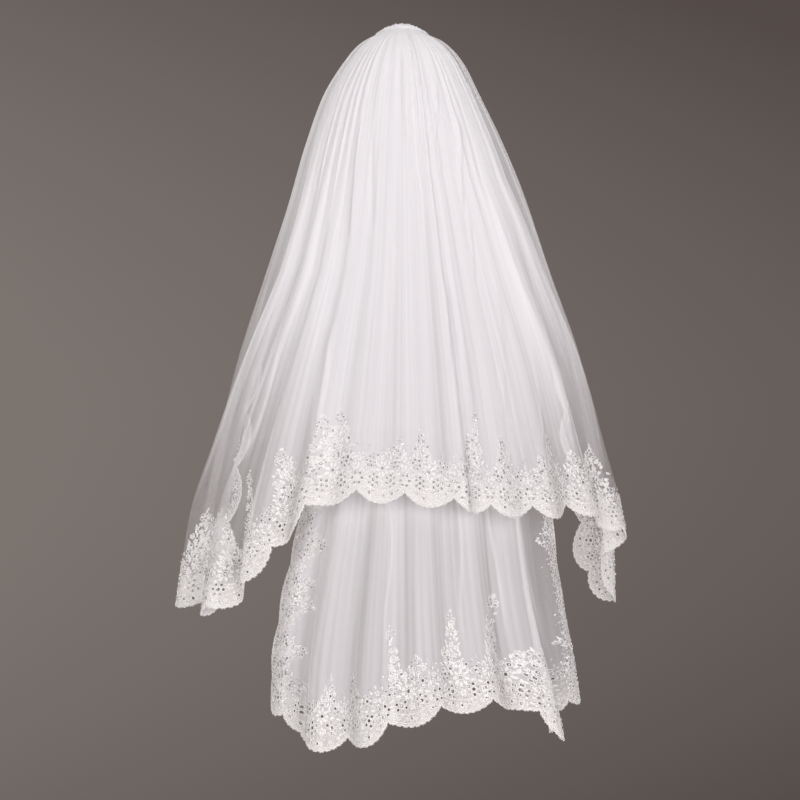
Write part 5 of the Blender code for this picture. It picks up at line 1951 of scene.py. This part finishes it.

# %% [markdown]
# ## How wide each cloth was cut
# Each net is cut as wide as its two sides together. The nets' cuts have 1.08 and 0.76 square metres,
# nearly twice what their shells have, because most gathers are too fine to model and `cover` stands for
# them. A sheet may not state that much more than its shell, so the nets state an area between the two.
# The lace is a straight band, less what its scallops, its eyelets and the mitre of its corner take away.

for tier in (UPPER, LOWER):
    width = cut_left(tier) + cut_right(tier)

# %% [markdown]
# ## Floor, camera and light
# A pale floor lies where the wearer would stand. The camera looks level from behind, at half the
# veil's height. Big soft lamps on both sides let the white net glow against a warm grey room, and two
# weaker ones light the front.

# %% Floor
FLOOR_Z = -1.65
FLOOR_RADIUS = 1.9
FLOOR_SIDES = 96
rim_points = oval(FLOOR_RADIUS, FLOOR_RADIUS, FLOOR_SIDES)
floor_points = [(0, 0, FLOOR_Z), *((x, y, FLOOR_Z) for x, y in rim_points)]
floor_faces = [(0, 1 + i, 1 + (i + 1) % FLOOR_SIDES) for i in range(FLOOR_SIDES)]
floor_mesh = bpy.data.meshes.new("studio_floor")
floor_mesh.from_pydata(floor_points, [], floor_faces)
paper, paper_tree, paper_shader = shader_material("pale_paper", (0.62, 0.60, 0.58), 0.8)
bump_on(paper_tree, paper_shader, own_noise(paper_tree, 40), 0.1, 0.002)
floor_mesh.materials.append(paper)
in_scene("studio_floor", floor_mesh)
print("floor:", len(floor_faces), "triangles")

# %% Camera
CAMERA_AT = (-0.0032, -4.5, -0.592)
SEEN_HEIGHT = 1.28  # metres, at the veil's own distance
camera = in_scene("camera", bpy.data.cameras.new("camera"))
camera.location = CAMERA_AT
camera.rotation_euler = (math.radians(90), 0, 0)
camera.data.sensor_width = 36
camera.data.lens = 36 * 4.5 / SEEN_HEIGHT
bpy.context.scene.camera = camera
print("lens:", round(camera.data.lens), "mm")

# %% Lamps
Lamp = namedtuple("Lamp", "name x y z width watts colour")
LAMPS = (
    Lamp("key", -1.9, -4.2, 0.2, 3.4, 107, (1.0, 0.985, 0.97)),
    Lamp("fill", 2.1, -4.0, -0.7, 3.4, 109, (1.0, 0.97, 0.97)),
    Lamp("crown", 0.0, -0.9, 2.0, 1.6, 7, (0.93, 0.96, 1.0)),
    Lamp("front_left", -2.2, 3.2, 0.8, 2.4, 85, (1.0, 0.98, 0.96)),
    Lamp("front_right", 2.2, 3.2, 0.4, 2.4, 75, (1.0, 0.98, 0.97)),
)
AIM = Vector((0, -0.1, -0.5))

for lamp in LAMPS:
    light = bpy.data.lights.new(lamp.name, "AREA")
    light.size = lamp.width
    light.energy = lamp.watts
    light.color = lamp.colour
    holder = in_scene(lamp.name, light)
    holder.location = (lamp.x, lamp.y, lamp.z)
    holder.rotation_euler = (AIM - holder.location).to_track_quat("-Z", "Y").to_euler()
print("lamps:", [lamp.name for lamp in LAMPS])

# %% The room's soft grey
# The grey darkens to the right and, faster, away from the level, up and down.
ROOM_GREY = 0.171
SIDEWAYS_FALL, LEVEL_FALL, ABOVE_FALL = -0.25, -2.2, -0.1
DARKEST, LIGHTEST = 0.088, 0.203
world = bpy.data.worlds.new("warm_grey_room")
bpy.context.scene.world = world
world.use_nodes = True
sky = world.node_tree
heading_of = sky.nodes.new("ShaderNodeTexCoord")
axes = add_node(sky, "ShaderNodeSeparateXYZ", {0: heading_of.outputs["Generated"]})
sideways = math_node(sky, "MULTIPLY", axes.outputs["X"], SIDEWAYS_FALL)
squared = math_node(sky, "MULTIPLY", axes.outputs["Z"], axes.outputs["Z"])
upward = math_node(sky, "MULTIPLY", squared, LEVEL_FALL)
above = math_node(sky, "MULTIPLY", math_node(sky, "MAXIMUM", axes.outputs["Z"], 0.0), ABOVE_FALL)
level = math_node(sky, "ADD", sideways, upward)
tone = math_node(sky, "ADD", level, math_node(sky, "ADD", above, ROOM_GREY))
spread = add_node(sky, "ShaderNodeMapRange", {"Value": tone, "From Min": DARKEST, "From Max": LIGHTEST})
background = sky.nodes["Background"].inputs["Color"]
tinted(sky, background, spread.outputs[0], (0.088, 0.070, 0.067), (0.203, 0.176, 0.160))
print("room:", world.name)

# %% Colours and clear layers
bpy.context.scene.view_settings.view_transform = "Standard"
bpy.context.scene.cycles.transparent_max_bounces = 64
print("clear layers that light may pass:", bpy.context.scene.cycles.transparent_max_bounces)
